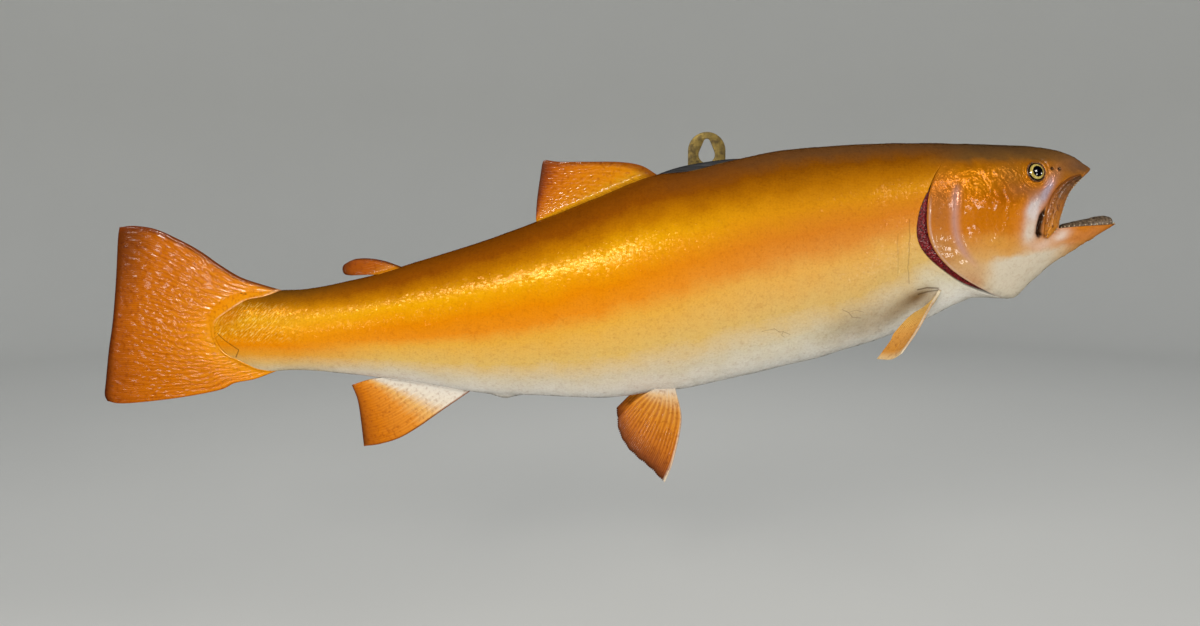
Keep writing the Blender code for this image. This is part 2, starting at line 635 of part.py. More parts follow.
def make_pectoral_fins(colour):
    roots = ((0.1850, -0.0115), (0.1830, -0.0155), (0.1808, -0.0195), (0.1785, -0.0230))
    base = [off_skin(x, z, 0.0018) for x, z in roots]
    tip, heel = Vector((0.1494, -0.1050, -0.0517)), Vector((0.1389, -0.0800, -0.0596))
    front = spline([base[0], (0.1719, -0.0870, -0.0250), (0.1656, -0.0930, -0.0335),
                    (0.1589, -0.0985, -0.0414), tip], 8)
    rear = spline([base[-1], (0.1645, -0.0715, -0.0297), (0.1524, -0.0745, -0.0416),
                   (0.1490, -0.0760, -0.0475), heel], 8)
    free = spline([tip, (0.1453, -0.0940, -0.0575), heel], 6)
    fin("pectoral_fin_right", colour, base, free, front, rear, *FIN_THICKNESS["pectoral right"])
    # the left one lies back between the fish and the wall
    base = [off_skin(x, z, 0.0022) for x, z in roots]
    tip, heel = off_skin(0.1440, -0.0330, 0.0045), off_skin(0.1470, -0.0435, 0.0040)
    front = spline([base[0], off_skin(0.1640, -0.0230, 0.0040), tip], 8)
    rear = spline([base[-1], off_skin(0.1630, -0.0340, 0.0040), heel], 8)
    free = spline([tip, off_skin(0.1410, -0.0395, 0.0045), heel], 6)
    edges = ([mirrored(point) for point in edge] for edge in (base, free, front, rear))
    fin("pectoral_fin_left", colour, *edges, *FIN_THICKNESS["pectoral left"])


# ---- the board and its hanger ---------------------------------------------------
def make_board(wood):
    outline = [(point.x, point.z) for point in spline([(x, 0, z) for x, z in BOARD_OUTLINE], 60, closed=True)]
    board = new_object("back_board", prism(outline, -BOARD_THICKNESS, 0.0), wood)
    bevel = board.modifiers.new("eased_edges", "BEVEL")
    bevel.width = BOARD_BEVEL
    bevel.segments = 2
    bevel.limit_method = "ANGLE"
    bevel.angle_limit = BEVEL_ANGLE
    recess = prism(hanger_outline(GAP), -HANGER_THICKNESS - GAP, OVERRUN)
    boolean(board, new_object("cut_hanger_recess", recess, None))
    for screw in make_screws("cut_screw_hole_{}", GAP, None):
        boolean(board, screw)


def hanger_outline(margin=0.0):
    """Arch of the hanger plate: straight sides and a half-round top."""
    radius = HANGER_WIDTH / 2
    steps = 16
    arch = [(HANGER_X + (radius + margin) * math.cos(math.pi * k / steps),
             HANGER_TOP - radius + (radius + margin) * math.sin(math.pi * k / steps)) for k in range(steps + 1)]
    return arch + [(HANGER_X - radius - margin, HANGER_BOTTOM - margin),
                   (HANGER_X + radius + margin, HANGER_BOTTOM - margin)]


def keyhole_outline():
    """Drop-shaped hole: wide below for the nail's head, narrow above for its shank."""
    leave = math.acos((KEYHOLE_RADIUS - SLOT_RADIUS) / (SLOT_Z - KEYHOLE_Z))
    upright = math.pi / 2
    hole = arc_points(KEYHOLE_Z, KEYHOLE_RADIUS, upright + leave, 2 * (math.pi - leave), 20)
    return hole + arc_points(SLOT_Z, SLOT_RADIUS, upright - leave, 2 * leave, 8)


def arc_points(height, radius, start, sweep, steps):
    """Points of an arc centred on the hanger's middle line."""
    angles = [start + sweep * k / steps for k in range(steps + 1)]
    return [(HANGER_X + radius * math.cos(angle), height + radius * math.sin(angle)) for angle in angles]


def make_screws(names, grow, metal):
    """Flush screws that hold the plate to the board."""
    screws = []
    for number, sign in ((1, -1), (2, 1)):
        outline = [(HANGER_X + sign * SCREW_SPREAD / 2 + (SCREW_RADIUS + grow) * math.cos(2 * math.pi * k / 12),
                    SCREW_Z + (SCREW_RADIUS + grow) * math.sin(2 * math.pi * k / 12)) for k in range(12)]
        back = OVERRUN if grow else -GAP
        screws.append(new_object(names.format(number), prism(outline, -SCREW_LENGTH - grow, back), metal))
    return screws


def make_hanger(metal):
    plate = new_object("hanger_plate", prism(hanger_outline(), -HANGER_THICKNESS, 0.0), metal)
    boolean(plate, new_object("cut_keyhole", prism(keyhole_outline(), -OVERRUN, OVERRUN), None))
    for screw in make_screws("cut_plate_hole_{}", GAP, None):
        boolean(plate, screw)
    make_screws("hanger_screw_{}", 0.0, metal)


def main():
    for obj in list(bpy.data.objects):
        bpy.data.objects.remove(obj)
    skin = material("golden_skin", (0.62, 0.33, 0.04), 0.25)
    cover_colour = material("gill_cover_peach", (0.72, 0.34, 0.16), 0.25)
    fin_colour = material("orange_fin", (0.60, 0.22, 0.03), 0.30)
    red = material("gill_red", (0.30, 0.03, 0.02), 0.45)
    flesh = material("tongue_brown", (0.16, 0.10, 0.08), 0.40)
    eye_colour = material("eye_amber", (0.45, 0.30, 0.05), 0.05)
    wood = material("slate_painted_wood", (0.05, 0.05, 0.055), 0.60)
    brass = material("hanger_brass", (0.60, 0.45, 0.20), 0.35, 1.0)

    make_trunk_and_stalk(skin)
    make_gills(red)
    make_head(skin, cover_colour, eye_colour)
    make_maxilla("maxilla_right", 1, skin)
    make_maxilla("maxilla_left", -1, skin)
    make_tongue(flesh)
    make_dorsal_fin(fin_colour)
    make_adipose_fin(fin_colour)
    make_anal_fin(fin_colour)
    make_tail_fin(fin_colour)
    make_pelvic_fins(fin_colour)
    make_pectoral_fins(fin_colour)
    make_board(wood)
    make_hanger(brass)


main()
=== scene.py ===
"""Looks of the mounted golden rainbow trout: skin, scales, fins, gills, mouth, eyes and mount."""

import math

import bmesh
import bpy
import numpy as np
from bpy.props import FloatProperty, FloatVectorProperty, IntProperty, PointerProperty
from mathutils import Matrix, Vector, noise


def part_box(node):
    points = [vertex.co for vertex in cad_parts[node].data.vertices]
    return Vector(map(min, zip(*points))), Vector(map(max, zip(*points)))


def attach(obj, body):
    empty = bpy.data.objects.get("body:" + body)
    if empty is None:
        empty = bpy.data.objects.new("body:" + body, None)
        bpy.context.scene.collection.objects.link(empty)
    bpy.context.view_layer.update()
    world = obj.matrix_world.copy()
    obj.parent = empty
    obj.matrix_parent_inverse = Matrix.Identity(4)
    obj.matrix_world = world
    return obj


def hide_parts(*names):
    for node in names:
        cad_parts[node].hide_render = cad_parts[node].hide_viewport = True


bl_info = {
    "name": "Mounted Golden Trout",
    "version": (1, 0, 0),
    "blender": (4, 5, 0),
    "location": "3D View > Sidebar > Trout",
    "description": "Builds the skin, scales, fins and mount of a golden rainbow trout",
    "category": "Object",
}

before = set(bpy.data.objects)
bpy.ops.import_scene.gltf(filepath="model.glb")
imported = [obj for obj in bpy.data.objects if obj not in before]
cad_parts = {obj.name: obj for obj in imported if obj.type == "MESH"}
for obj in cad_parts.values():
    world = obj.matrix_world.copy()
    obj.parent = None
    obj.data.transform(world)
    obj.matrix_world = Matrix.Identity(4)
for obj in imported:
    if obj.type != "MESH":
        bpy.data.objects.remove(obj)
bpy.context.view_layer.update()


def mm(*values):
    """Metres from millimetres."""
    return np.array(values, float) / 1000


# ---- the fish's form ---------------------------------------------------------------
MIDPLANE_Y = (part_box("dorsal_fin")[0].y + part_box("dorsal_fin")[1].y) / 2
FLAT_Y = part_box("trunk")[1].y
FULLNESS, RING_BEND = 0.94, 2.5

# Rings round the fish: the x of the widest point, how far back and belly lean forward of
# it, the z of the back, of the widest point and of the belly, and the half width.
STATIONS = mm(
    (-346.5, 24.5, 27.5, -12.5, -38, -74, 3.2), (-320, 12, 12, -13.8, -42, -74.8, 10),
    (-286, 0, 0, -13.2, -43, -73.3, 14.5), (-238, 0, 0, -5, -38.5, -77.1, 19.8),
    (-192, 0, 0, 8.3, -31, -83, 25), (-142, 0, 0, 24, -22.5, -90.8, 31.5),
    (-106, 0, 0, 37.2, -17, -92.1, 36.2), (-60, 0, 0, 55.6, -11, -94, 40.2),
    (-16.5, 0, 0, 71.6, -6, -89.3, 42.3), (4, 0, 0, 73.7, -2.5, -86.8, 42.8),
    (30, 0, 0, 80, 1.5, -81.1, 43), (76, 0, 0, 89.3, 10, -70.2, 42), (116, 0, 0, 92.6, 20, -59.5, 40),
    (131, 7, 14, 93.6, 26.5, -50.8, 38.8), (146, 17, 35, 94.2, 33, -35.4, 37),
    (160, 24, 59, 94.2, 39.5, -18.6, 35.6), (171.5, 28.5, 66.5, 93.7, 44, -19.5, 34.5),
    (184, 25, 61.2, 93.6, 46, -19.2, 33.4), (206, 16, 54, 93.2, 46.5, -6.4, 31),
    (236, 9, 42, 92.5, 45, 9, 25.5), (254, 11, 40, 90.5, 39.5, 19.3, 21.5),
    (265.5, 18, 44, 85.7, 34.5, 29, 19.2), (270.6, 27.6, 48.9, 76.2, 31.8, 35.4, 18),
)
TAIL_X, GILL_X, MOUTH_X = -0.3465, 0.1715, 0.2706

# The gill opening's width round the body, each part with its middle turn and its span: a
# long slit, a wider part behind the cheek and a gap low down; and the margin beside it.
SLIT_WIDTH, SLIT_MIDDLE, SLIT_SPAN = 0.0036, 2.10, 0.80
GAPE_WIDTH, GAPE_MIDDLE, GAPE_SPAN = 0.0041, 1.84, 0.42
LOW_GAP, LOW_GAP_MIDDLE, LOW_GAP_SPAN = 0.0018, 2.52, 0.22
MARGIN_GAP = 0.0009
COVER_CREASE_X = 0.1915
LIP = 0.0020
GULLET_X, GULLET_Z = 0.2580, 0.0440
GULLET_HALF_WIDTH, GULLET_HALF_HEIGHT = 0.0090, 0.0080
PALATE_ARCH, FLOOR_SAG = 0.0060, 0.0080
EYE_X, EYE_Z = 0.2527, 0.0732
EYE_RADIUS, EYE_DEPTH, EYE_SINK = 0.0070, 0.0046, 0.0015

# The lower edge of the orange stripe along the flank, x and z.
STRIPE_X = mm(-327, -283, -238, -193, -148, -104, -59, -15, 30, 74, 118, 161, 176)
STRIPE_Z = mm(-47.9, -48.8, -47, -44.8, -39.7, -32.2, -20.4, -6.8, 8.4, 18.8, 29, 39.4, 44.6)


def smooth_slopes(places, values):
    """Slopes for a smooth curve that never swings past its own stations."""
    steps = np.diff(places)
    rises = np.diff(values) / steps
    slopes = np.zeros(len(values))
    slopes[0], slopes[-1] = rises[0], rises[-1]
    for i in range(1, len(values) - 1):
        if rises[i - 1] * rises[i] > 0:
            before, after = 2 * steps[i] + steps[i - 1], steps[i] + 2 * steps[i - 1]
            slopes[i] = (before + after) / (before / rises[i - 1] + after / rises[i])
    return slopes


STATION_X = STATIONS[:, 0]
STATION_SLOPES = np.array([smooth_slopes(STATION_X, column) for column in STATIONS[:, 1:].T]).T


def measures(side_x):
    """Leans, heights and half width of the rings whose widest points are at side_x."""
    side_x = np.clip(side_x, STATION_X[0], STATION_X[-1])
    i = np.clip(np.searchsorted(STATION_X, side_x, side="right") - 1, 0, len(STATION_X) - 2)
    step = (STATION_X[i + 1] - STATION_X[i])[..., None]
    t = (side_x - STATION_X[i])[..., None] / step
    return ((1 + 2 * t) * (1 - t) ** 2 * STATIONS[i, 1:] + t * (1 - t) ** 2 * step * STATION_SLOPES[i]
            + t * t * (3 - 2 * t) * STATIONS[i + 1, 1:] + t * t * (t - 1) * step * STATION_SLOPES[i + 1])


def skin_point(side_x, turn):
    """Points of the skin: turn is 0 on the back, pi on the belly, past pi on the left side."""
    side_x, turn = np.broadcast_arrays(np.asarray(side_x, float), np.asarray(turn, float))
    back_lean, belly_lean, back, side, belly, half_width = np.moveaxis(measures(side_x), -1, 0)
    height, width = np.cos(turn), np.sin(turn)
    lean, edge = np.where(height >= 0, back_lean, belly_lean), np.where(height >= 0, back, belly)
    y = MIDPLANE_Y - np.copysign(half_width * np.abs(width) ** FULLNESS, width)
    return np.stack((side_x + lean * np.abs(height) ** RING_BEND, np.minimum(y, FLAT_Y),
                     side + (edge - side) * np.abs(height)), -1)


def unit(vectors):
    return vectors / np.maximum(np.linalg.norm(vectors, axis=-1, keepdims=True), 1e-12)


def skin_normal(side_x, turn):
    """Outward directions of the skin."""
    along = skin_point(side_x + 0.0005, turn) - skin_point(side_x - 0.0005, turn)
    around = skin_point(side_x, turn + 0.01) - skin_point(side_x, turn - 0.01)
    return unit(np.cross(around, along))


def last_ring(shape, behind):
    """The frontmost ring, for each place, for which the test behind still holds."""
    low, high = np.full(shape, TAIL_X), np.full(shape, MOUTH_X)
    for _ in range(40):
        side_x = (low + high) / 2
        passed = behind(side_x)
        low, high = np.where(passed, side_x, low), np.where(passed, high, side_x)
    return side_x


def place_on_skin(x, z):
    """The ring and the turn, on the right side, of the skin at given x and z."""
    x, z = np.broadcast_arrays(np.asarray(x, float), np.asarray(z, float))

    def place_on_ring(side_x):
        back_lean, belly_lean, back, side, belly, _half = np.moveaxis(measures(side_x), -1, 0)
        lean, edge = np.where(z >= side, back_lean, belly_lean), np.where(z >= side, back, belly)
        height = np.minimum(np.abs((z - side) / (edge - side)), 1.0)
        return side_x + lean * height ** RING_BEND, np.arccos(np.copysign(height, z - side))

    side_x = last_ring(x.shape, lambda ring: place_on_ring(ring)[0] < x)
    return side_x, place_on_ring(side_x)[1]


def over_skin(x, z, distance):
    """Points a distance outside the right side's skin, above given x and z."""
    side_x, turn = place_on_skin(x, z)
    return skin_point(side_x, turn) + skin_normal(side_x, turn) * np.asarray(distance)[..., None]


def mirrored(points):
    """The same points on the fish's other side."""
    points = np.array(points, float)
    points[..., 1] = 2 * MIDPLANE_Y - points[..., 1]
    return points


SIDES = (("right", np.array), ("left", mirrored))


def body_edge(x, belly=False):
    """Height of the back or belly line over x, where the rings stand upright or lean."""
    places = np.linspace(TAIL_X, MOUTH_X, 400)
    table = measures(places)
    lean, height = (1, 4) if belly else (0, 2)
    return np.interp(x, places + table[:, lean], table[:, height])


def stripe_height(side_x, point):
    """-1 at the belly, 0 at the lower edge of the orange stripe, 1 along the back."""
    stripe = np.interp(point[..., 0], STRIPE_X, STRIPE_Z)
    _back_lean, _belly_lean, back, _side, belly, _half = np.moveaxis(measures(side_x), -1, 0)
    rise = point[..., 2] - stripe
    return np.clip(rise / np.where(rise > 0, back - stripe, stripe - belly), -1, 1)


# ---- small tools -------------------------------------------------------------------
def fade(low, high, value):
    """0 up to low, 1 from high, and smooth between them."""
    share = np.clip((np.asarray(value, float) - low) / (high - low), 0, 1)
    return share * share * (3 - 2 * share)


def bell(value, width):
    return np.exp(-(np.asarray(value, float) / width) ** 2)


def grain(points, size, seed=0.0):
    """Smooth noise from -1 to 1 with lumps of the given size."""
    flat = np.asarray(points, float).reshape(-1, 3) / size + seed
    return np.array([noise.noise(Vector(point)) for point in flat]).reshape(np.shape(points)[:-1])


def line_distance(x, z, line):
    """Distance in x and z from a broken line, and how far along it, from 0 to 1."""
    best, share = np.full(np.shape(x), np.inf), np.zeros(np.shape(x))
    for i, (start, end) in enumerate(zip(line, line[1:])):
        run = end - start
        t = np.clip(((x - start[0]) * run[0] + (z - start[1]) * run[1]) / (run @ run), 0, 1)
        gap = np.hypot(x - start[0] - t * run[0], z - start[1] - t * run[1])
        share = np.where(gap < best, (i + t) / (len(line) - 1), share)
        best = np.minimum(best, gap)
    return best, share


def spline(points, count, closed=False):
    """Evenly numbered points of a smooth curve through the given ones."""
    points = np.array(points, float)
    if closed:
        padded = np.vstack((points[-1:], points, points[:2]))
    else:
        padded = np.vstack((2 * points[0] - points[1], points, 2 * points[-1] - points[-2]))
    last = len(padded) - 3
    place = np.linspace(0, last, count, endpoint=not closed)
    i = np.minimum(place.astype(int), last - 1)
    t = (place - i)[:, None]
    before, start, end, after = (padded[i + k] for k in range(4))
    return 0.5 * (2 * start + (end - before) * t + (2 * before - 5 * start + 4 * end - after) * t ** 2
                  + (3 * start - before - 3 * end + after) * t ** 3)


def at_fractions(points, fractions):
    """Points at fractions of a broken line's length."""
    points = np.asarray(points, float)
    lengths = np.concatenate(([0], np.cumsum(np.linalg.norm(np.diff(points, axis=0), axis=1))))
    wanted = np.asarray(fractions) * lengths[-1]
    return np.stack([np.interp(wanted, lengths, points[:, axis]) for axis in range(3)], -1)


def grid_faces(rows, columns, closed=False, first=0):
    """Four-sided faces of a grid of points."""
    i, j = np.meshgrid(np.arange(rows - 1), np.arange(columns if closed else columns - 1), indexing="ij")
    k = (j + 1) % columns
    corners = (i * columns + j, i * columns + k, (i + 1) * columns + k, (i + 1) * columns + j)
    return np.stack(corners, -1).reshape(-1, 4) + first


def full_turn(count):
    return np.linspace(0, 2 * np.pi, count, endpoint=False)


def closed_tube(rings):
    """Points and faces of a tube from rings of points, closed in the middle of both ends."""
    ends = [np.broadcast_to(rings[i].mean(0), (1, rings.shape[1], 3)) for i in (0, -1)]
    rings = np.concatenate((ends[0], rings, ends[1]))
    return rings, grid_faces(len(rings), rings.shape[1], closed=True)


def closed_plate(front, back):
    """Points and faces of a plate between two grids of points of the same size."""
    rows, columns = front.shape[:2]
    count = rows * columns
    faces = [grid_faces(rows, columns), grid_faces(rows, columns, first=count)[:, ::-1]]
    rim = [i * columns for i in range(rows)] + [(rows - 1) * columns + j for j in range(1, columns)]
    rim += [i * columns + columns - 1 for i in range(rows - 2, -1, -1)] + list(range(columns - 2, 0, -1))
    rim = np.array(rim)
    after = np.roll(rim, -1)
    faces.append(np.stack((rim, after, after + count, rim + count), -1))
    return np.concatenate((front.reshape(-1, 3), back.reshape(-1, 3))), np.concatenate(faces)


def linked(name, data):
    """An object in the scene."""
    obj = bpy.data.objects.new(name, data)
    bpy.context.scene.collection.objects.link(obj)
    return obj


def present(name, mesh, finish, replaces=()):
    """A piece of the object, riding on the root, with its finish."""
    mesh.materials.clear()
    mesh.materials.append(finish)
    obj = linked(name, mesh)
    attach(obj, "root")
    if replaces:
        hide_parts(*replaces)
    return obj


def tidied(mesh, merge):
    """Points closer than merge joined, and all faces turned outward."""
    builder = bmesh.new()
    builder.from_mesh(mesh)
    if merge:
        bmesh.ops.remove_doubles(builder, verts=builder.verts, dist=merge)
    bmesh.ops.recalc_face_normals(builder, faces=builder.faces)
    builder.to_mesh(mesh)
    builder.free()
    mesh.shade_smooth()


def new_piece(name, points, faces, finish, slot, replaces=(), numbers=None, merge=0.0, crisp=0.0):
    """A smooth piece from points and faces, with numbers kept on its points."""
    points, faces = np.asarray(points, float).reshape(-1, 3), np.asarray(faces)
    mesh = bpy.data.meshes.new(name)
    mesh.vertices.add(len(points))
    mesh.vertices.foreach_set("co", points.ravel())
    mesh.loops.add(faces.size)
    mesh.loops.foreach_set("vertex_index", faces.ravel().astype(np.int32))
    mesh.polygons.add(len(faces))
    mesh.polygons.foreach_set("loop_start", np.arange(0, faces.size, faces.shape[1], dtype=np.int32))
    mesh.update(calc_edges=True)
    for word, values in (numbers or {}).items():
        kept = mesh.attributes.new(word, "FLOAT", "POINT")
        kept.data.foreach_set("value", np.asarray(values, np.float32).ravel())
    tidied(mesh, merge)
    if crisp:
        mesh.set_sharp_from_angle(angle=crisp)
    return present(name, mesh, finish, replaces)


def tone(code):
    """Linear colour of six hexadecimal digits."""
    parts = [int(code[i:i + 2], 16) / 255 for i in (0, 2, 4)]
    return tuple(part / 12.92 if part <= 0.04045 else ((part + 0.055) / 1.055) ** 2.4 for part in parts)


# ---- finishes ----------------------------------------------------------------------
class Value:
    """A number over a surface; arithmetic on it adds the nodes that work it out."""

    def __init__(self, finish, socket):
        self.finish, self.socket = finish, socket

    def math(self, operation, *numbers, clamp=False):
        settings = {"operation": operation, "use_clamp": clamp}
        node = self.finish.node("ShaderNodeMath", settings, dict(enumerate(numbers)))
        return Value(self.finish, node.outputs[0])

    def __add__(self, other):
        return self.math("ADD", self, other)

    def __sub__(self, other):
        return self.math("SUBTRACT", self, other)

    def __rsub__(self, other):
        return self.math("SUBTRACT", other, self)

    def __mul__(self, other):
        return self.math("MULTIPLY", self, other)

    def __truediv__(self, other):
        return self.math("DIVIDE", self, other)

    __radd__, __rmul__ = __add__, __mul__

    def bell(self, width):
        scaled = self / width
        return self.math("EXPONENT", 0 - scaled * scaled)

    def between(self, low, high):
        """0 at low, 1 at high, and smooth between them."""
        node = self.finish.node("ShaderNodeMapRange", {"interpolation_type": "SMOOTHSTEP", "clamp": True},
                                {"Value": self, "From Min": low, "From Max": high})
        return Value(self.finish, node.outputs[0])


class Finish:
    """One procedural material, built from named steps."""

    def __init__(self, name, **sockets):
        self.material = bpy.data.materials.new(name)
        self.material.use_nodes = True
        self.tree = self.material.node_tree
        self.shader = self.tree.nodes["Principled BSDF"]
        self.plug(self.shader, sockets)
        self.place = self.node("ShaderNodeTexCoord").outputs["Object"]

    def plug(self, node, sockets):
        for name, value in sockets.items():
            socket = node.inputs[name.replace("_", " ") if isinstance(name, str) else name]
            value = tone(value) if isinstance(value, str) else getattr(value, "socket", value)
            if isinstance(value, bpy.types.NodeSocket):
                self.tree.links.new(value, socket)
            elif hasattr(value, "__len__") and len(value) == 3 and len(socket.default_value) == 4:
                socket.default_value = (*value, 1)
            else:
                socket.default_value = value

    def node(self, kind, settings=None, sockets=None):
        """Any node: its settings are set first, then its sockets take values or links."""
        node = self.tree.nodes.new(kind)
        for name, value in (settings or {}).items():
            if name == "stops":
                band = node.color_ramp
                while len(band.elements) < len(value):
                    band.elements.new(0.5)
                for element, (place, colour) in zip(band.elements, value):
                    element.position = place
                    element.color = (*(tone(colour) if isinstance(colour, str) else colour), 1)
            else:
                setattr(node, name, value)
        self.plug(node, sockets or {})
        return node

    def number(self, word):
        """A number kept on the piece's points."""
        node = self.node("ShaderNodeAttribute", {"attribute_type": "GEOMETRY", "attribute_name": word})
        return Value(self, node.outputs["Fac"])

    def side_view(self):
        """The place's x and z."""
        x, _y, z = self.node("ShaderNodeSeparateXYZ", None, {0: self.place}).outputs
        return Value(self, x), Value(self, z)

    def stretched(self, *factors):
        sockets = {0: self.place, 1: factors}
        return self.node("ShaderNodeVectorMath", {"operation": "MULTIPLY"}, sockets).outputs[0]

    def vector(self, x, y):
        return self.node("ShaderNodeCombineXYZ", None, {0: x, 1: y}).outputs[0]

    def noise(self, scale, detail=2.0, roughness=0.5, at=None):
        sockets = {"Vector": at or self.place, "Scale": scale, "Detail": detail, "Roughness": roughness}
        return Value(self, self.node("ShaderNodeTexNoise", None, sockets).outputs[0])

    def blend(self, factor, low, high, how="MIX"):
        """Colour low where the factor is 0 and high where it is 1."""
        settings = {"data_type": "RGBA", "blend_type": how}
        return self.node("ShaderNodeMix", settings, {0: factor, 6: low, 7: high}).outputs[2]

    def coats(self, colour, *layers):
        """Coats of paint, (cover, tone) or (cover, tone, how), one over another."""
        for cover, code, *how in layers:
            colour = self.blend(cover, colour, code, *how)
        return colour

    def ramp(self, value, stops, interpolation="EASE"):
        node = self.node("ShaderNodeValToRGB", {"stops": stops}, {0: value})
        node.color_ramp.interpolation = interpolation
        return node.outputs[0]

    def bumps(self, *layers):
        """Relief from (height, distance in metres) layers, the broadest first."""
        normal = None
        for height, distance in layers:
            sockets = {"Height": height, "Distance": distance, "Strength": 1.0}
            if normal:
                sockets["Normal"] = normal
            normal = self.node("ShaderNodeBump", None, sockets).outputs[0]
        self.plug(self.shader, {"Normal": normal})

    def finished(self, **sockets):
        self.plug(self.shader, sockets)
        return self.material


VARNISH = {"Coat_Weight": 0.35, "Coat_Roughness": 0.10, "Coat_IOR": 1.5}
GLOSSY_VARNISH = {"Specular_IOR_Level": 0.5, **VARNISH}

# Colours from belly to back, by the height over the orange stripe's lower edge.
TAIL_TONES = (
    (-0.95, "cfc0a0"), (-0.72, "cfac6c"), (-0.45, "d4922c"), (-0.2, "d88003"), (0.1, "dc8e08"),
    (0.4, "dfa018"), (0.6, "c88406"), (0.78, "935a05"), (0.95, "68400c"),
)
MIDDLE_TONES = (
    (-0.95, "dedbd4"), (-0.75, "cec2a8"), (-0.5, "d2ae60"), (-0.2, "d8a23c"), (-0.02, "da8618"),
    (0.15, "d88103"), (0.45, "dc9c02"), (0.64, "b06e02"), (0.8, "864703"), (0.95, "743d03"),
)
FORE_TONES = (
    (-0.95, "dad8d0"), (-0.75, "cbc2a8"), (-0.5, "cdab66"), (-0.2, "d4a04c"), (-0.03, "cc8230"),
    (0.12, "c87820"), (0.4, "c68310"), (0.6, "a46505"), (0.78, "7c4603"), (0.93, "64401f"),
)
HEAD_TONES = (
    (0.10, "c4baa0"), (0.36, "c89a5c"), (0.50, "c07012"), (0.74, "bc6d04"), (0.84, "b87004"),
    (0.875, "985a08"), (0.915, "66451e"), (0.99, "523a22"),
)
# Soft patches: centre and reach in millimetres, tilt, colour, strength.
# Of the flank patches, the second is painted shade at the pectoral fin's base, and the third and fourth are
# painted shade on the belly below and behind that fin.
FLANK_PATCHES = (
    ((-333, -33), (11, 6), 0.35, "e8a860", 0.6), ((169, -15.5), (12, 5), 0.45, "8c6a34", 0.85),
    ((156, -26), (16, 9), 0.6, "a8946c", 0.6), ((125, -36), (26, 12), 0.35, "b8aa94", 0.6),
)
HEAD_PATCHES = (
    ((180, 48), (12, 22), 0, "a46228", 0.9), ((186, 17), (14, 12), -0.7, "ae7640", 0.85),
    ((213, 44), (16, 17), 0, "b46502", 0.9), ((226.2, 56), (11, 10), 0.3, "a65802", 0.85),
    ((208, 64), (13, 5), 0.1, "bc7406", 0.8), ((224, 23), (16, 7), 0, "c98e3c", 0.8),
    ((208, -6), (13, 9), -0.7, "b8865a", 0.75), ((233, 71), (12, 9), 0, "8f5a1c", 0.75),
    ((242, 60), (11, 5), -0.2, "9c5f30", 0.8), ((270, 73), (14, 7), 0, "b06c1c", 0.85),
    ((288, 78), (17, 8.5), 0, "725036", 0.97), ((260, 59), (4, 11.5), -0.6, "aa97a0", 1.3),
    ((250.8, 45.5), (4.8, 9.5), -0.3, "c4b8b6", 1.3), ((249, 31), (6.2, 9.5), 0.1, "c8b8a8", 1.2),
    ((260, 21), (9, 4.8), 0.2, "cfae98", 0.95), ((274, 28), (7, 4.4), 0.2, "d6c2b4", 1),
    ((295, 28), (20, 5.5), 0.35, "c47a3a", 1),
)
# Hairline cracks in the paint: x and z of their points and breadth in millimetres, strength.
CRACKS = (
    (((-342, -45.5), (-336.6, -50.5), (-330.9, -54.2), (-325.8, -57.2)), 0.3, 0.8),
    (((-325.8, -57.2), (-327, -60), (-329, -63.1)), 0.35, 0.8),
    (((65, -37.5), (69.3, -40), (72.2, -39.8), (77.2, -42.2)), 0.22, 0.5),
    (((72.2, -39.8), (71.2, -42.5), (73, -44)), 0.22, 0.5),
    (((56, -39.5), (60.5, -38.5), (65, -37.5)), 0.2, 0.4),
    (((113, -24), (118, -26.2), (121.5, -30), (127.1, -30.6)), 0.22, 0.5),
    (((118, -26.2), (123.5, -24.5), (129, -26.2)), 0.2, 0.4),
    (((158, 40), (158.6, 28), (159.2, 17), (160.2, 6), (162.2, -6)), 0.45, 0.32),
    (((151, 30), (151.4, 15), (152.4, 2)), 0.45, 0.18),
    (((169, -10.5), (176, -9.2), (184, -9.8)), 0.55, 0.75),
    (((170, -14), (177, -12.2), (184.5, -11.2)), 0.6, 0.65),
)
NOSTRILS = mm((265.6, 75.8), (271.4, 75.4))
# Reach of the painted shade in the nostril pits.
NOSTRIL_SHADE = mm(1.2, 1.0)


def tone_stops(tones):
    return [((height + 1) / 2, code) for height, code in tones]


def patch(x, z, centre, reach, tilt=0.0):
    """A soft oval patch in side view."""
    across, up = x - centre[0], z - centre[1]
    cos, sin = math.cos(tilt), math.sin(tilt)
    a, b = (across * cos + up * sin) / reach[0], (up * cos - across * sin) / reach[1]
    away = 0 - (a * a + b * b)
    return away.math("EXPONENT", away)


def hairline(x, z, points, breadth):
    """A thin crack along a broken line, 1 on it."""
    found = None
    for (x1, z1), (x2, z2) in zip(points, points[1:]):
        run_x, run_z = x2 - x1, z2 - z1
        length_squared = run_x ** 2 + run_z ** 2
        share = x.math("MULTIPLY", (x - x1) * run_x + (z - z1) * run_z, 1 / length_squared, clamp=True)
        off_x, off_z = x - x1 - share * run_x, z - z1 - share * run_z
        line = x.math("EXPONENT", 0 - (off_x * off_x + off_z * off_z) / breadth ** 2)
        found = line if found is None else found.math("MAXIMUM", found, line)
    return found


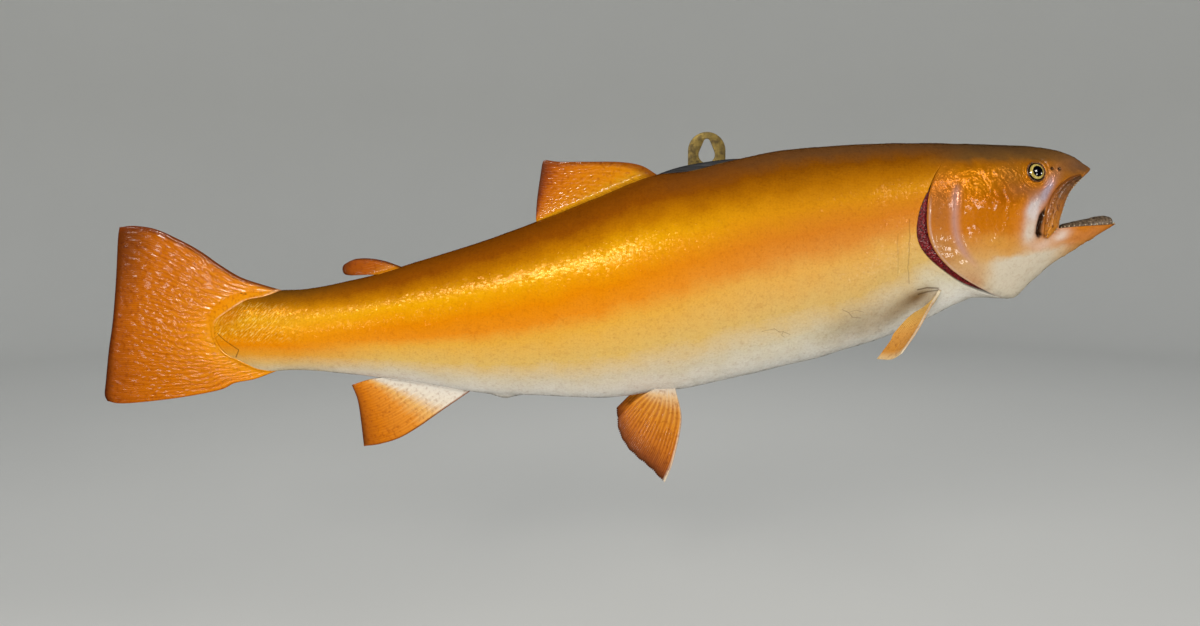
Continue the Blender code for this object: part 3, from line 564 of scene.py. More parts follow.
def flank_colour(finish, x, z, height, wander):
    """The painted flank: back, gold, orange stripe, cream and belly."""
    height = height + (wander - 0.5) * 0.16
    level = (height + 1) / 2
    tail, middle, fore = (finish.ramp(level, tone_stops(tones), "LINEAR")
                          for tones in (TAIL_TONES, MIDDLE_TONES, FORE_TONES))
    colour = finish.blend(x.between(-0.300, -0.200), tail, middle)
    colour = finish.blend(x.between(-0.060, 0.100), colour, fore)
    # Pale and dark strokes on the stalk: partly its streaky paint, partly a painted highlight and painted
    # shade of its wet, stroked surface.
    strokes = finish.noise(1.0, at=finish.vector((x - z) * 650.0, (x + z) * 160.0))
    on_stalk = x.between(-0.270, -0.315) * height.between(-0.20, 0.05) * height.between(0.85, 0.60)
    colour = finish.coats(colour, (strokes.between(0.50, 0.68) * on_stalk * 0.55, "f2cc70"),
                          (strokes.between(0.46, 0.32) * on_stalk * 0.45, "a8640c"))
    # Patches multiplied in; some of them are painted shade at and behind the pectoral fin's base.
    for centre, reach, tilt, code, strength in FLANK_PATCHES:
        cover = patch(x, z, mm(*centre), mm(*reach), tilt)
        colour = finish.blend(cover * strength, colour, code, "MULTIPLY")
    for points, breadth, strength in CRACKS:
        line = hairline(x + (wander - 0.5) * 0.0045, z, mm(*points), breadth / 1000)
        colour = finish.blend(line * strength, colour, "3a2208")
    return colour


def head_colour(finish, x, z, ring):
    """The painted head, patch by patch."""
    colour = finish.ramp(z * 8.0 + 0.25, HEAD_TONES, "LINEAR")
    for centre, reach, tilt, code, strength in HEAD_PATCHES:
        cover = z.math("MULTIPLY", patch(x, z, mm(*centre), mm(*reach), tilt), strength, clamp=True)
        colour = finish.blend(cover, colour, code)
    lilac = (ring - COVER_CREASE_X + 0.0006).bell(0.0030)
    lilac = lilac * z.between(0.000, 0.020) * z.between(0.068, 0.056)
    throat = (z - x * 0.20 + 0.0345).between(0.0034, -0.0030)
    throat = throat * x.between(0.214, 0.230) * x.between(0.292, 0.262)
    return finish.coats(colour, (lilac * 0.80, "b68a7e"), (throat * 0.95, "c8beaa"))


def fish_skin(name, scaled):
    """Varnished paint of the whole fish; the scales carry the same markings."""
    finish = Finish(name, Specular_IOR_Level=0.04, Coat_Roughness=0.10, Coat_IOR=1.5)
    x, z = finish.side_view()
    wander = finish.noise(60.0, 3.0)
    height, ring, head = finish.number("height"), finish.number("ring"), finish.number("head")
    colour = flank_colour(finish, x, z, height, wander)
    soft_x, soft_z = x + (wander - 0.5) * 0.008, z + (finish.noise(95.0) - 0.5) * 0.008
    colour = finish.blend(head, colour, head_colour(finish, soft_x, soft_z, ring))
    # Painted shade in the nostril pits.
    for nostril in NOSTRILS:
        colour = finish.blend(patch(x, z, nostril, NOSTRIL_SHADE), colour, "1c0e08")
    # A painted highlight along the lower part of the gill cover's margin.
    margin = (ring - GILL_X - 0.0014).bell(0.0008) * z.between(0.060, 0.045) * head
    colour = finish.blend(margin * 0.6, colour, "c0a090")
    hammered, fine = finish.noise(620.0), finish.noise(1500.0)
    gilt = z.between(0.044, 0.058) * z.between(0.084, 0.074)
    pearl = height.between(-0.30, 0.15) * height.between(0.95, 0.60) * (1 - head) * 0.032 + gilt * head * 0.26
    pearl = pearl + x.between(-0.260, -0.320) * height.between(-0.10, 0.20) * 0.10
    if scaled:
        # Painted shade along each scale's rim, where the scales overlap.
        colour = finish.blend(finish.number("rim") * 0.06, colour, "7a4306", "MULTIPLY")
        finish.bumps((hammered * (1 + x.between(-0.270, -0.320) * 2.5), 0.00007), (fine, 0.000015))
    else:
        # Painted shade: "inside" darkens the mouth's lining towards the gullet, and "crease" darkens the gill
        # fold, the slit behind the maxilla and the nostril pits.
        colour = finish.coats(colour, (finish.number("inside"), "4a3328"),
                              (finish.number("crease"), "2a1608"))
        finish.bumps((hammered, 0.00026), (fine, 0.00005))
    mottle = finish.noise(260.0, 3.0).between(0.48, 0.88) * 0.20
    # The hammered noise that makes the bumps also darkens the colour, as painted shade of the hammered
    # relief; the mottle is dark flecks in the paint.
    colour = finish.coats(colour, (hammered.between(0.50, 0.72) * 0.16, "a87838", "MULTIPLY"),
                          (mottle, "b06a20", "MULTIPLY"))
    return finish.finished(Base_Color=colour, Metallic=pearl, Coat_Weight=0.03 + head * (0.42 - gilt * 0.36),
                           Roughness=0.10 + finish.noise(140.0) * 0.14)


def lumpy_finish(name, size, detail, stops, depth, roughness):
    """Varnished and granular: colour and relief come from the same lumps; the colour, partly the material's
    own mottling, is darker in the hollows as painted shade.
    """
    finish = Finish(name, **GLOSSY_VARNISH)
    lumps = finish.noise(size, detail)
    finish.bumps((lumps, depth))
    return finish.finished(Base_Color=finish.ramp(lumps, stops), Roughness=roughness)


# ---- skin --------------------------------------------------------------------------
def side_turn(turn):
    """The turn from the back, on either side."""
    return np.minimum(turn, 2 * np.pi - turn)


def gape(turn):
    """Width of the gill opening round the body, closed at the nape and the throat."""
    slit = SLIT_WIDTH * np.exp(-((side_turn(turn) - SLIT_MIDDLE) / SLIT_SPAN) ** 8)
    return slit + GAPE_WIDTH * bell(side_turn(turn) - GAPE_MIDDLE, GAPE_SPAN)


def opening(turn):
    """Width of the gap in the skin: the gape, a margin beside it and more under the cheek."""
    low = LOW_GAP * bell(side_turn(turn) - LOW_GAP_MIDDLE, LOW_GAP_SPAN)
    return gape(turn) + MARGIN_GAP * crease(turn) + low


def crease(turn):
    """How open the fold of skin at the gill cover's margin is."""
    return fade(0.76, 1.02, side_turn(turn)) * fade(2.95, 2.60, side_turn(turn))


def head_share(side_x, turn):
    """1 on the head's paint and 0 on the trunk's: sharp at the gill opening, soft over the nape."""
    fold = crease(turn)
    return fold * (side_x >= GILL_X - 1e-6) + (1 - fold) * fade(GILL_X - 0.026, GILL_X + 0.022, side_x)


# The fold from shoulder to gill cover: share of the gape, then millimetres along the body
# and under the skin where the fold is fully open; and how much painted shade darkens the crease there.
GILL_FOLD = (
    (1, 0, 0.1), (1, 0.3, 0.5), (0.98, 0.5, 1.4), (0.95, 0.6, 3), (0.70, 0.6, 4.2), (0, 1, 4.4),
    (0, 4.5, 4.2), (0, 5.8, 3.6), (0, 5.2, 2.6), (0, 1.5, 1.9), (0, 0.1, 1.5), (0, -0.4, 1),
    (0, -0.4, 0.4), (0, 0.1, 0),
)
FOLD_SHADE = (0, 0.2, 0.6, 0.9, 1, 1, 1, 1, 1, 1, 0.8, 0.4, 0.1, 0)
BODY_ROWS, HEAD_ROWS, MOUTH_ROWS, FOLDS_OF_TRUNK = 104, 176, 26, 5

MAXILLA_SLIT = mm((274, 66), (269.8, 61), (265, 54.5), (260.2, 48), (257.3, 42), (255.8, 35), (255.7, 29.8),
                  (258.5, 25.8))
# Row of raised folds down the cheek, in front of the pale skin behind the jaw.
CHEEK_CHAIN = mm((233, 54.5), (230.5, 47), (230, 39), (228, 31), (221.5, 24))
VENT_X, VENT_LENGTH, VENT_RISE = -0.1300, 0.0085, 0.0032
# The gills' first and last turn from the back, and how deep their back lies.
GILLS_FIRST, GILLS_LAST, GILLS_DEPTH = 1.20, 2.78, 0.0036


def crowded(start, end, count, *crowds):
    """Places from start to end, closer together by (centre, reach, gain) crowds."""
    even = np.linspace(start, end, 800)
    density = 1 + sum(gain * bell(even - centre, reach) for centre, reach, gain in crowds)
    total = np.concatenate(([0], np.cumsum((density[1:] + density[:-1]) / 2)))
    return np.interp(np.linspace(0, total[-1], count), total, even)


def body_relief(point):
    """Vent papilla and faint muscle bands on the trunk and stalk."""
    x, y, z = np.moveaxis(point, -1, 0)
    on_belly = fade(-0.086, -0.0895, z)
    lift = VENT_RISE * bell(x - VENT_X, VENT_LENGTH) * on_belly * bell(y - MIDPLANE_Y, 0.0060)
    strokes = grain(np.stack((0.35 * x, y, z + 0.35 * x), -1), 0.0030, 8.0)
    return lift + 0.00016 * grain(point, 0.011, 3.0) + 0.00022 * fade(-0.290, -0.325, x) * strokes


def head_relief(point, side_x):
    """Eye sockets, nostrils, cover creases, cheek wrinkles and the slit behind the maxilla."""
    x, y, z = np.moveaxis(point, -1, 0)
    eye = np.hypot(x - EYE_X, z - EYE_Z)
    lift = 0.00045 * bell(eye - 0.0081, 0.0010) - 0.0034 * fade(0.0070, 0.0058, eye)
    lift -= 0.00025 * bell(eye - 0.0102, 0.0010)
    for nostril_x, nostril_z in NOSTRILS:
        gap = np.hypot(x - nostril_x, z - nostril_z)
        lift += 0.00022 * bell(gap - 0.0018, 0.0006) - 0.0013 * fade(0.0013, 0.0005, gap)
    past_crease = side_x - COVER_CREASE_X
    cover = 0.0004 * bell(past_crease - 0.0035, 0.0020) - 0.0007 * bell(past_crease, 0.0012)
    lift += cover * fade(0.004, 0.014, z) * fade(0.070, 0.060, z)
    slit, share = line_distance(x, z, MAXILLA_SLIT)
    lift -= (0.0005 + 0.0020 * fade(0.45, 0.65, share)) * bell(slit, 0.0016) * fade(1.0, 0.93, share)
    below = fade(0.0, -0.004, z - EYE_Z) * fade(0.017, 0.012, eye)
    lift += 0.00034 * np.sin(eye * 2 * np.pi / 0.0024 + 1.5 * grain(point, 0.004, 7.0)) * below
    slant = np.stack((x + 0.5 * z, y, 0.55 * (z - 0.5 * x)), -1)
    folds = 0.6 - 2 * np.abs(grain(slant, 0.0058, 11.0))
    band = bell(x - 0.2130, 0.0190) * bell(z - 0.0625, 0.0085)
    cheek = bell(x - 0.2280, 0.0200) * bell(z - 0.0380, 0.0180)
    lift += folds * (0.00085 * band + 0.00030 * cheek)
    lift += 0.00022 * grain(point, 0.0100, 5.0) + 0.00016 * grain(point, 0.0036, 23.0)
    lift += 0.00055 * np.maximum(grain(point, 0.0026, 31.0), 0) * fade(0.274, 0.284, x)
    stitches, along = line_distance(x, z, CHEEK_CHAIN)
    lift += 0.00075 * bell(stitches, 0.0012) * (0.55 + 0.45 * np.sin(along * 44)) * fade(0, 0.1, along)
    cover = 0.00050 * np.maximum(grain(point, 0.0030, 19.0), -0.1) + 0.00024 * grain(point, 0.0070, 29.0)
    cover *= fade(0.1980, 0.1900, side_x) * (0.35 + 0.65 * fade(0.046, 0.026, z)) * fade(0.070, 0.060, z)
    return lift + cover


def mouth_rows(turns):
    """Rows of points over the rounded lip and down the mouth's lining to the gullet."""
    height, width, level = np.cos(turns), np.sin(turns), np.ones(len(turns))
    rim = skin_point(MOUTH_X, turns)
    lip = rim + LIP * np.stack((-0.4 * level, width, -np.maximum(height, 0)), -1)
    throat = np.stack((GULLET_X * level, MIDPLANE_Y - GULLET_HALF_WIDTH * width,
                       GULLET_Z + GULLET_HALF_HEIGHT * height), -1)
    rows = [rim + (lip - rim) * (1 - math.cos(angle)) / 2 + np.array((0.0007, 0, 0)) * math.sin(angle)
            for angle in np.linspace(0, np.pi, 7)[1:]]
    for t in np.linspace(0, 1, MOUTH_ROWS)[1:]:
        swell = 4 * t * (1 - t)
        hollow = np.where(height > 0, PALATE_ARCH, FLOOR_SAG) * height * swell
        rows.append(lip + (throat - lip) * t + np.stack((0 * level, -0.0015 * width * swell, hollow), -1))
    return np.array(rows)


def build_skin(settings):
    half_turns = crowded(0.0, np.pi, settings.columns // 2 + 1, (0.85, 0.40, 0.9))
    turns = np.concatenate((half_turns, 2 * np.pi - half_turns[-2:0:-1]))
    level = np.ones(len(turns))
    fold, gap = crease(turns), opening(turns)
    body = crowded(TAIL_X, GILL_X - 0.0012, BODY_ROWS, (TAIL_X, 0.02, 1.5), (VENT_X, 0.012, 3.0))
    body = body[:, None] * level
    body = body - gap * fade(GILL_X - 0.035, GILL_X - 0.0012, body)
    folds = np.array([GILL_X - share * gap + along / 1000 * fold for share, along, _depth in GILL_FOLD])
    depths = np.array([-depth / 1000 * fold for _share, _along, depth in GILL_FOLD])
    head = crowded(GILL_X + 0.0010, MOUTH_X, HEAD_ROWS, (0.2520, 0.0110, 1.0))[:, None] * level
    side_x = np.concatenate((body, folds, head))
    smooth = skin_point(side_x, turns)
    under_scales = body_relief(smooth[:BODY_ROWS]) - settings.coat_depth * fade(GILL_X, GILL_X - 0.010, body)
    lift = np.concatenate((under_scales, depths, head_relief(smooth[-HEAD_ROWS:], head)))
    points = smooth + skin_normal(side_x, turns) * lift[..., None]
    points[..., 1] = np.minimum(points[..., 1], FLAT_Y)
    mouth = mouth_rows(turns)
    tail_cap = points[:1].copy()
    tail_cap[..., 1] = MIDPLANE_Y
    gullet = np.broadcast_to(mouth[-1].mean(0), (1, len(turns), 3))
    rows = np.concatenate((tail_cap, points, mouth, gullet))
    lining = np.ones((len(mouth) + 1, 1)) * level

    shares = head_share(side_x, turns)
    past_body = BODY_ROWS + FOLDS_OF_TRUNK
    shares[BODY_ROWS:past_body] *= 1 - fold
    shares[past_body:] = np.maximum(shares[past_body:], fold)
    on_head_x, _y, on_head_z = np.moveaxis(smooth[-HEAD_ROWS:], -1, 0)
    # Painted shade in the slit behind the maxilla, kept in the crease number.
    slit, share = line_distance(on_head_x, on_head_z, MAXILLA_SLIT)
    dark = bell(slit, 0.0009 + 0.0013 * fade(0.4, 0.6, share)) * fade(0.05, 0.3, share)
    dark *= (0.5 + fade(0.40, 0.55, share)) * fade(1.0, 0.93, share)
    # Painted shade in the nostril pits, kept in the crease number.
    for nostril_x, nostril_z in NOSTRILS:
        dark += 0.9 * bell(np.hypot(on_head_x - nostril_x, on_head_z - nostril_z), 0.0012)
    bare = np.zeros((BODY_ROWS + 1, len(turns)))
    fold_shade = np.array(FOLD_SHADE)[:, None] * fold
    # Painted shade deepening down the mouth's lining towards the gullet.
    inside = fade(4, 9, np.arange(len(lining)))[:, None] * level
    numbers = {
        "height": np.concatenate((stripe_height(side_x[:1], tail_cap), stripe_height(side_x, points),
                                  0 * lining)),
        "ring": np.concatenate((side_x[:1], side_x, MOUTH_X * lining)),
        "head": np.concatenate((0 * side_x[:1], shares, lining)),
        "inside": np.concatenate((bare, 0 * fold_shade, 0 * dark, inside)),
        "crease": np.clip(np.concatenate((bare, fold_shade, dark, 0 * lining)), 0, 1),
    }
    return new_piece("skin", rows, grid_faces(len(rows), len(turns), closed=True),
                     fish_skin("golden_skin", False), "golden_skin",
                     ("trunk", "tail_stalk", "head", "lower_jaw", "gill_cover_right", "gill_cover_left"),
                     numbers, merge=2e-6)


def build_gills():
    """Granular red gills in the opening, on each side."""
    turns = np.linspace(GILLS_FIRST, GILLS_LAST, 200)
    share = np.linspace(0, 1, 26)[:, None]
    reds = ((0.3, "2c0205"), (0.5, "6a0510"), (0.75, "a01a22"))
    finish = lumpy_finish("gill_red", 700.0, 3.0, reds, 0.0012, 0.35)
    side_x = GILL_X - opening(turns) * (1.03 - share) + 0.0035 * share
    point, outward = skin_point(side_x, turns), skin_normal(side_x, turns)
    depth = 0.0021 + 0.0006 * (2 * share - 1) ** 2 + grain(point, 0.0011, 2.0) * 0.00035
    points, faces = closed_plate(point - outward * depth[..., None], point - outward * GILLS_DEPTH)
    for word, turned in SIDES:
        replaced = ("gills",) if word == "right" else ()
        new_piece("gills_" + word, turned(points), faces, finish, "gill_red", replaced)


# ---- scales ------------------------------------------------------------------------
SCALE_PIECES = (
    ("scales_stalk", TAIL_X, -0.1550), ("scales_flank", -0.1550, 0.0050), ("scales_shoulder", 0.0050, 0.2400),
)
# One scale: towards the tail in scale lengths, across in scale widths, outward in scale
# rises; the rim of six points, then the crown and the underside.
SCALE_SHAPE = np.array((
    (-0.62, 0, -0.70), (-0.20, 0.54, -0.10), (0.38, 0.44, 0.35), (0.66, 0, 0.55),
    (0.38, -0.44, 0.35), (-0.20, -0.54, -0.10), (0.06, 0, 1), (0.06, 0, -1.40),
))
# 1 on the rim points, which get painted shade.
SCALE_RIM_SHADE = np.array((1, 1, 1, 1, 1, 1, 0, 0), float)
SCALE_STRAY, SCALE_TILT, SCALE_EDGE = 0.40, 0.030, math.radians(70)
SCALES_FRONT, BODY_RADIUS = 0.2380, 0.045
# The scales get smaller where a side is shorter from back to belly, or the body narrower.
SMALLER_SIDE, SMALLER_HALF_WIDTH = 0.190, 0.036
# The flat map of the scales: the x where it ends and how far one scale reaches on it.
MAP_FRONT, MAP_REACH = 0.2400, 0.0024
SCALE_FACES = np.array([(k, (k + 1) % 6, 6) for k in range(6)] + [((k + 1) % 6, k, 7) for k in range(6)])


def scale_size(share):
    """Size of the scales where the body has a share of its full size."""
    return 0.66 + 0.34 * np.minimum(share, 1)


def scale_roots(length, width, chance):
    """Ring and turn of each scale, in staggered rows from the flank towards back and belly."""
    found = []
    turns = np.linspace(0.0, np.pi, 200)
    for i, x in enumerate(np.arange(TAIL_X + 0.0010, SCALES_FRONT, length)):
        side_x = last_ring(turns.shape, lambda rings: skin_point(rings, turns)[:, 0] < x)
        ring = skin_point(side_x, turns)
        arc = np.concatenate(([0], np.cumsum(np.linalg.norm(np.diff(ring, axis=0), axis=1))))
        pitch = width * scale_size(arc[-1] / SMALLER_SIDE)
        wanted = np.interp(np.pi / 2, turns, arc) + (np.arange(-130, 130) + 0.5 * (i % 2)) * pitch
        wanted = wanted[(wanted > 0.25 * pitch) & (wanted < arc[-1] - 0.25 * pitch)]
        turn, place = np.interp(wanted, arc, turns), np.interp(wanted, arc, side_x)
        keep = (place < GILL_X - opening(turn) - 0.0011) & (place > TAIL_X + 0.0032)
        found.append(np.stack((place[keep], turn[keep]), -1))
    right = np.concatenate(found)
    stray = chance.uniform(-0.5, 0.5, right.shape) * SCALE_STRAY
    right = right + stray * np.array((length, width / BODY_RADIUS))
    left = np.stack((right[:, 0], 2 * np.pi - right[:, 1]), -1)
    roots = np.concatenate((right, left))
    x, y, _z = skin_point(roots[:, 0], roots[:, 1]).T
    against_board = (y > FLAT_Y - 1e-6) & (x > -0.130) & (x < 0.140)
    return roots[~against_board]


def build_scales(settings):
    chance = np.random.default_rng(7)
    side_x, turn = scale_roots(settings.length, settings.width, chance).T
    point, outward = skin_point(side_x, turn), skin_normal(side_x, turn)
    tailward = unit(skin_point(side_x - 0.0005, turn) - skin_point(side_x + 0.0005, turn))
    outward = unit(outward + SCALE_TILT * chance.standard_normal(outward.shape))
    across = unit(np.cross(outward, tailward))
    tailward = np.cross(across, outward)
    small = scale_size(measures(side_x)[:, 5] / SMALLER_HALF_WIDTH)
    size = (small * (1 + 0.06 * chance.standard_normal(len(point))))[:, None]
    along, breadth, crown = SCALE_SHAPE.T
    lift = crown * settings.rise * size - settings.rise * 1.15 + body_relief(point)[:, None]
    corners = (point[:, None] + tailward[:, None] * (along * settings.length * 1.10)[:, None]
               + across[:, None] * (breadth * settings.width * 1.10 * size)[..., None]
               + outward[:, None] * lift[..., None])
    corners[..., 1] = np.minimum(corners[..., 1], FLAT_Y)
    kept = {"height": stripe_height(side_x, point), "ring": side_x, "head": head_share(side_x, turn)}
    place = 0.01 + 0.98 * np.stack(((point[:, 0] - TAIL_X) / (MAP_FRONT - TAIL_X), turn / (2 * np.pi)), -1)
    finish = fish_skin("golden_scales", True)
    for name, low, high in SCALE_PIECES:
        chosen = (point[:, 0] >= low) & (point[:, 0] < high)
        count = int(chosen.sum())
        faces = (SCALE_FACES + len(SCALE_SHAPE) * np.arange(count)[:, None, None]).reshape(-1, 3)
        numbers = {"rim": np.tile(SCALE_RIM_SHADE, count)}
        numbers.update((word, np.repeat(values[chosen], len(SCALE_SHAPE))) for word, values in kept.items())
        piece = new_piece(name, corners[chosen], faces, finish, "golden_skin", (), numbers, crisp=SCALE_EDGE)
        spread = place[chosen][:, None] + SCALE_SHAPE[:, :2] * MAP_REACH
        loops = np.zeros(len(piece.data.loops), np.int32)
        piece.data.loops.foreach_get("vertex_index", loops)
        layer = piece.data.uv_layers.new(name="OFBake")
        layer.data.foreach_set("uv", spread.reshape(-1, 2)[loops].astype(np.float32).ravel())


# ---- fins --------------------------------------------------------------------------
FILLET_HEIGHT, RIDGE_RADIUS, THINNEST_HALF = 0.0011, 0.032, 0.00022


def spread_rays(base, free, front, rear, rows, columns):
    """Points spread between a fin's four edges; each column is one line from root to edge."""
    s, t = np.linspace(0, 1, columns), np.linspace(0, 1, rows)
    base, free, front, rear = (at_fractions(edge, share) for edge, share in
                               ((base, s), (free, s), (front, t), (rear, t)))
    across, out = s[None, :, None], t[:, None, None]
    blend = (1 - out) * base + out * free + (1 - across) * front[:, None] + across * rear[:, None]
    return blend - ((1 - out) * ((1 - across) * base[0] + across * base[-1])
                    + out * ((1 - across) * free[0] + across * free[-1]))


def ray_ridges(across, out, rays, first, second):
    """Height of rays that branch twice on their way out, from 0 to 1."""
    split, again = fade(first, first + 0.30, out), fade(second, second + 0.25, out)
    place = np.abs((across * rays) % 1 - 0.5)
    place = np.abs(np.abs(place - 0.25 * split) - 0.125 * again)
    return bell(place, 0.24 * (1 - 0.46 * split) * (1 - 0.45 * again))


def flesh_half_width(x, z):
    """Half width of the body over x and z; it fades out past the stalk's end and outline."""
    side_x, turn = place_on_skin(x, z)
    point = skin_point(side_x, turn)
    half = MIDPLANE_Y - point[..., 1] + body_relief(point)
    last_ring_x = np.full(np.shape(x), TAIL_X)
    back_lean, belly_lean, _back, side = np.moveaxis(measures(last_ring_x), -1, 0)[:4]
    lean = np.where(z >= side, back_lean, belly_lean)
    end = TAIL_X + lean * np.abs(np.cos(place_on_skin(last_ring_x, z)[1])) ** RING_BEND
    return half * fade(-0.0060, 0.0005, x - end)


def build_fin(name, edges, thickness, rays, splits, finish, settings, sizes=(90, 240), relief=1.0,
              ragged=0.0, draped=False, fillet=0.0, stray=0.0, lumps=0.00007, sink=0.0030):
    """A fin as a thin plate with branching, jointed rays and a soft outer edge."""
    rows, columns = sizes
    sheet = spread_rays(*edges, rows, columns)
    out, across = np.meshgrid(np.linspace(0, 1, rows), np.linspace(0, 1, columns), indexing="ij")
    wavy = across + stray * grain(sheet, 0.014, 6.0) * fade(0.0, 0.05, across * (1 - across))
    ridge = ray_ridges(wavy, out, rays, *splits)
    if ragged:
        notch = ragged * (1 - ridge[-1]) * (0.6 + 0.4 * np.sin(across[-1] * 40)) * fade(0.7, 1.0, out)
        sheet = sheet - unit(sheet[-1] - sheet[-2])[None] * notch[..., None]
    normal = unit(np.cross(np.gradient(sheet, axis=0), np.gradient(sheet, axis=1)))
    joints = 0.5 + 0.5 * np.cos(2 * np.pi * (out * settings.joints + 0.37 * np.floor(across * rays)))
    worn = 0.55 + 0.75 * grain(sheet, 0.0050, 5.0) + 0.25 * grain(sheet, 0.0016, 9.0)
    height = settings.ray_height * relief * (ridge - 0.45)
    height *= 1 - 0.45 * joints ** 4 * fade(0.15, 0.35, out)
    long_lumps = grain(np.stack((wavy * rays * 2.2, out * 16.0, 0 * out), -1), 1.0, 3.0)
    height = height * np.clip(worn, 0.12, 1.2) + lumps * long_lumps
    height *= (1 - 0.35 * out) * fade(-0.02, 0.10, out) * fade(1.02, 0.90, out)
    edge = np.minimum(np.minimum(across, 1 - across) * columns / 5, (1 - out) * rows / 4)
    soft = np.sqrt(np.clip(edge, 0, 1)) * 0.7 + 0.3
    half = ((thickness[0] * (1 - out) + thickness[1] * out) / 2 + height) * soft
    half = np.maximum(half, THINNEST_HALF)
    rootward = unit(sheet[:1] - sheet[1:2])
    if fillet:
        rise = np.linalg.norm(sheet - sheet[:1], axis=-1)
        spread = fillet * np.exp(-rise / FILLET_HEIGHT) * (1 + 0.25 * grain(sheet, 0.0050, 2.0))
        spread *= fade(0, 0.10, across) * fade(1, 0.86, across)
        half = half + spread
        sheet = sheet + rootward * (spread ** 2 / (2 * RIDGE_RADIUS))[..., None]
        rootward = unit(sheet[:1] - sheet[1:2])
    root, root_half = sheet[:1] + rootward * sink, half[:1]
    if draped:
        lip = 0.0007 * bell(out - 0.010, 0.008) * (1 + 0.6 * grain(sheet, 0.0050, 2.0))
        lip = lip + 0.0004 * fade(0.0, 0.02, out) - 0.0003
        over = flesh_half_width(sheet[..., 0], sheet[..., 2]) + lip + 0.7 * height * fade(0.01, 0.10, out)
        half = np.maximum(over, half)
        root_half = np.maximum(root_half, flesh_half_width(root[..., 0], root[..., 2]) - 0.0012)
    middle = np.concatenate((root, sheet))
    apart = np.concatenate((normal[:1] * root_half[..., None], normal * half[..., None]))
    points, faces = closed_plate(middle + apart, middle - apart)
    numbers = {word: np.tile(np.concatenate((values[:1], values)).ravel(), 2)
               for word, values in (("out", out), ("across", across), ("ridge", ridge))}
    return new_piece("painted_" + name, points, faces, finish, "orange_fin", (name,), numbers)


def fin_finish(name, stops, membrane, leading, lined=0.55, corner=0.0, gloss=0.4, lip=None):
    """Varnished fin colour from root to edge, with streaks along the rays."""
    finish = Finish(name, Specular_IOR_Level=0.16 * gloss, Coat_Weight=0.65 * gloss ** 2,
                    Coat_Roughness=0.06, Coat_IOR=1.5)
    out, across, ridge = finish.number("out"), finish.number("across"), finish.number("ridge")
    streak = finish.noise(1.0, 3.0, at=finish.vector(across * 60.0, out * 3.0))
    colour = finish.ramp(out + (streak - 0.5) * out.between(1.0, 0.82) * 0.22, stops, "LINEAR")
    if corner:
        colour = finish.blend(across.between(0.55, 0.0) * out.between(0.70, 1.0) * corner, colour, "5c2a08")
    reach, code = leading
    colour = finish.blend(across.between(reach, reach * 0.15) * 0.9, colour, code)
    between_rays = (1 - ridge) * out.between(0.05, 0.30) * out.between(0.98, 0.86)
    colour = finish.blend(between_rays * lined, colour, membrane, "MULTIPLY")
    # A painted highlight along the raised lip where the stalk's skin drapes over the fin's root.
    if lip:
        seam = (out - 0.012).bell(0.011) * across.between(0.50, 0.36)
        colour = finish.blend(seam * finish.noise(260.0).between(0.30, 0.55) * 0.8, colour, lip)
    blotches = finish.noise(420.0, 3.0).between(0.48, 0.80) * 0.5
    colour = finish.blend(blotches, colour, "a05a10", "MULTIPLY")
    finish.bumps((finish.noise(800.0), 0.00009))
    return finish.finished(Base_Color=colour, Roughness=0.36 - 0.22 * gloss)


def in_midplane(points):
    """Points in the middle plane, from their x and z."""
    x, z = points.T
    return np.stack((x, np.full(len(x), MIDPLANE_Y), z), -1)


def root_line(front_x, rear_x, belly=False, count=40):
    """A fin's root along the back or the belly."""
    places = np.linspace(front_x, rear_x, count)
    return in_midplane(np.stack((places, body_edge(places, belly)), -1))


def fin_edges(base, front, free, rear, counts):
    """A fin's four edges; the front and the rear one start from the ends of its root."""
    front, free, rear = (spline(np.vstack((start, in_midplane(mm(*points)))), count) for start, points, count
                         in zip((base[:1], base[:0], base[-1:]), (front, free, rear), counts))
    return base, free, front, rear


